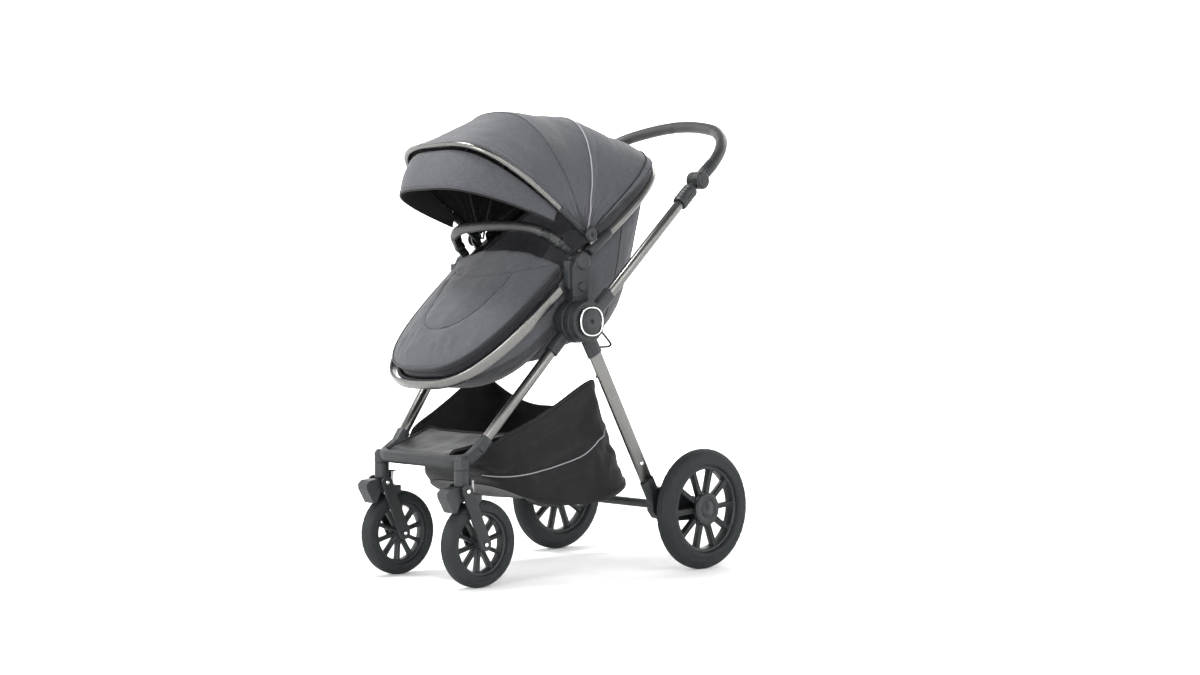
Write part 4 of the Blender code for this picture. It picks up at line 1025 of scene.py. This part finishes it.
basket_rows = ([basket_ring(0.04 + 0.96 * i / 14, False) for i in range(14)]
               + [basket_ring(i / 26, True) for i in range(27)])
basket = cloth_panel("basket_cloth", basket_rows, 0.0022, ("basket", "basket"), at(0, 0.20, 0.30), wrap=True)
put(basket, "chassis", "basket_fabric", "storage_basket")
put(tube("basket_rim_binding", basket_ring(1.0, True), 0.0030, "lining", 10, closed=True), "chassis",
    "basket_fabric")
put(tube("basket_floor_seam", basket_ring(0.03, True, 0.0006), 0.0016, "lining", 8, closed=True), "chassis",
    "basket_fabric")
for word, side in SIDES:
    line = []
    for i in range(81):
        turn = radians(-64 + 136 * i / 80)
        t = (sin(turn) + 1) / 2
        line.append(basket_point(turn if side > 0 else pi - turn, 0.44 - 0.30 * t + 0.60 * t * t, True, 0.0010))
    put(tube(f"basket_piping_{word}", line, 0.0013, "piping", 8), "chassis", "basket_fabric")
    strap = spline([at(side * 0.2045, 0.300, 0.452), at(side * 0.2120, 0.296, 0.470),
                    at(side * 0.2150, 0.288, 0.488), at(side * 0.2150, 0.281, 0.499)], 8)
    put(bar(f"basket_strap_{word}", strap, oval(0.0075, 0.0010, 16, 4.0), "basket", side=(0, 1, 0.3)), "chassis",
        "basket_fabric")
    buckle = [strap[12] + (strap[16] - strap[12]) * t for t in (-0.6, 0.3, 1.2)]
    put(bar(f"strap_buckle_{word}", buckle, oval(0.0098, 0.0026, 20, 4.0), "plastic_gloss", side=(0, 1, 0.3),
            widths=[0.9, 1.0, 0.9]), "chassis", "black_plastic")

FLAP = ((-0.050, 0.2840, 0.110), (-0.041, 0.2920, 0.110), (0.0, 0.3010, 0.120), (0.045, 0.3120, 0.134),
        (0.100, 0.3260, 0.150))
flap_rows = []
for i in range(25):
    back = FLAP[0][0] + (FLAP[-1][0] - FLAP[0][0]) * i / 24
    up, half = (float(np.interp(back, [f[0] for f in FLAP], [f[k] for f in FLAP])) for k in (1, 2))
    flap_rows.append([at(half * u, back, up + 0.006 * abs(u) ** 4 - 0.0025 * sin(pi * i / 24)
                         * (1 - u * u) + ripple((u, back * 3, 0), 2.5, 0.0010))
                      for u in (1 - 2 * j / 48 for j in range(49))])
put(cloth_panel("basket_flap", flap_rows, 0.0040, ("flap", "basket"), at(0, 0.02, 0.1)), "chassis",
    "black_plastic", "basket_panel")
flap_edge = ([row[0] for row in flap_rows] + flap_rows[-1][1:] + [row[-1] for row in reversed(flap_rows[:-1])])
put(tube("basket_flap_edge", flap_edge, 0.0026, "lining", 10), "chassis", "basket_fabric")

# ---------------------------------------------------------------- stage
def stage():
    """White bowl of paper all round the stroller, soft boxes and the camera."""
    profile = [(0.0, 0.0), (1.5, 0.0), (3.0, 0.0), (6.0, 0.0)]
    profile += [(6.0 + 3.0 * sin(pi / 2 * i / 16), 3.0 * (1 - cos(pi / 2 * i / 16)))
                for i in range(1, 17)]
    profile.append((9.0, 7.0))
    around = 96
    points = [(r * cos(tau * j / around), r * sin(tau * j / around), z)
              for r, z in profile for j in range(around)]
    faces = [(i * around + j, i * around + (j + 1) % around, (i + 1) * around + (j + 1) % around,
              (i + 1) * around + j) for i in range(len(profile) - 1) for j in range(around)]
    mesh = bpy.data.meshes.new("floor")
    mesh.from_pydata(points, [], faces)
    mesh.polygons.foreach_set("use_smooth", [True] * len(mesh.polygons))
    floor = bpy.data.objects.new("floor", mesh)
    bpy.context.collection.objects.link(floor)
    paper = Look("studio_floor", roughness=0.85, Specular_IOR_Level=0.1)
    cloud = paper.grain(paper.space(), scale=1.5, detail=2)
    paper.set("Base Color", paper.ramp(cloud, (0.93, 0.93, 0.93), (0.95, 0.95, 0.95)))
    reach = paper.add("ShaderNodeVectorMath", {0: paper.space()}, operation="LENGTH")
    glow = paper.add("ShaderNodeMapRange", {"Value": reach.outputs["Value"], "From Min": 1.1, "From Max": 3.2,
                                            "To Min": 0.0, "To Max": 0.85}).outputs["Result"]
    paper.shader.inputs["Emission Color"].default_value = (1, 1, 1, 1)
    paper.set("Emission Strength", glow)
    mesh.materials.append(paper.material)

    world = bpy.data.worlds.new("studio")
    bpy.context.scene.world = world
    world.use_nodes = True
    world.node_tree.nodes["Background"].inputs["Color"].default_value = (0.97, 0.985, 1.0, 1)
    world.node_tree.nodes["Background"].inputs["Strength"].default_value = 0.40

    def softbox(name, place, target, size, power):
        lamp = bpy.data.lights.new(name, "AREA")
        lamp.shape, lamp.size, lamp.size_y, lamp.energy = "RECTANGLE", size[0], size[1], power
        holder = bpy.data.objects.new(name, lamp)
        bpy.context.collection.objects.link(holder)
        holder.location = place
        holder.rotation_euler = (Vector(target) - Vector(place)).to_track_quat("-Z", "Y").to_euler()

    softbox("key", (-0.7, -1.3, 3.4), (0, 0, 0.6), (0.9, 0.9), 125)
    softbox("fill", (3.2, -0.4, 2.2), (0, 0, 0.5), (1.8, 1.4), 22)
    softbox("low_fill", (0.9, -3.0, 1.0), (0, 0, 0.76), (1.0, 0.7), 42)
    softbox("back", (-0.8, 2.6, 2.6), (0, 0, 0.7), (1.4, 1.0), 30)
    bpy.context.scene.view_settings.view_transform = "Standard"

    lens = bpy.data.cameras.new("camera")
    camera = bpy.data.objects.new("camera", lens)
    bpy.context.collection.objects.link(camera)
    lens.sensor_width = 36.0
    lens.lens = 57.71
    lens.shift_x, lens.shift_y = 0.0375, 0.0096
    camera.location = at(3.3733, -2.6446, 0.6103)
    camera.rotation_euler = (radians(90 - 1.2553), 0, radians(48.382))
    bpy.context.scene.camera = camera


stage()
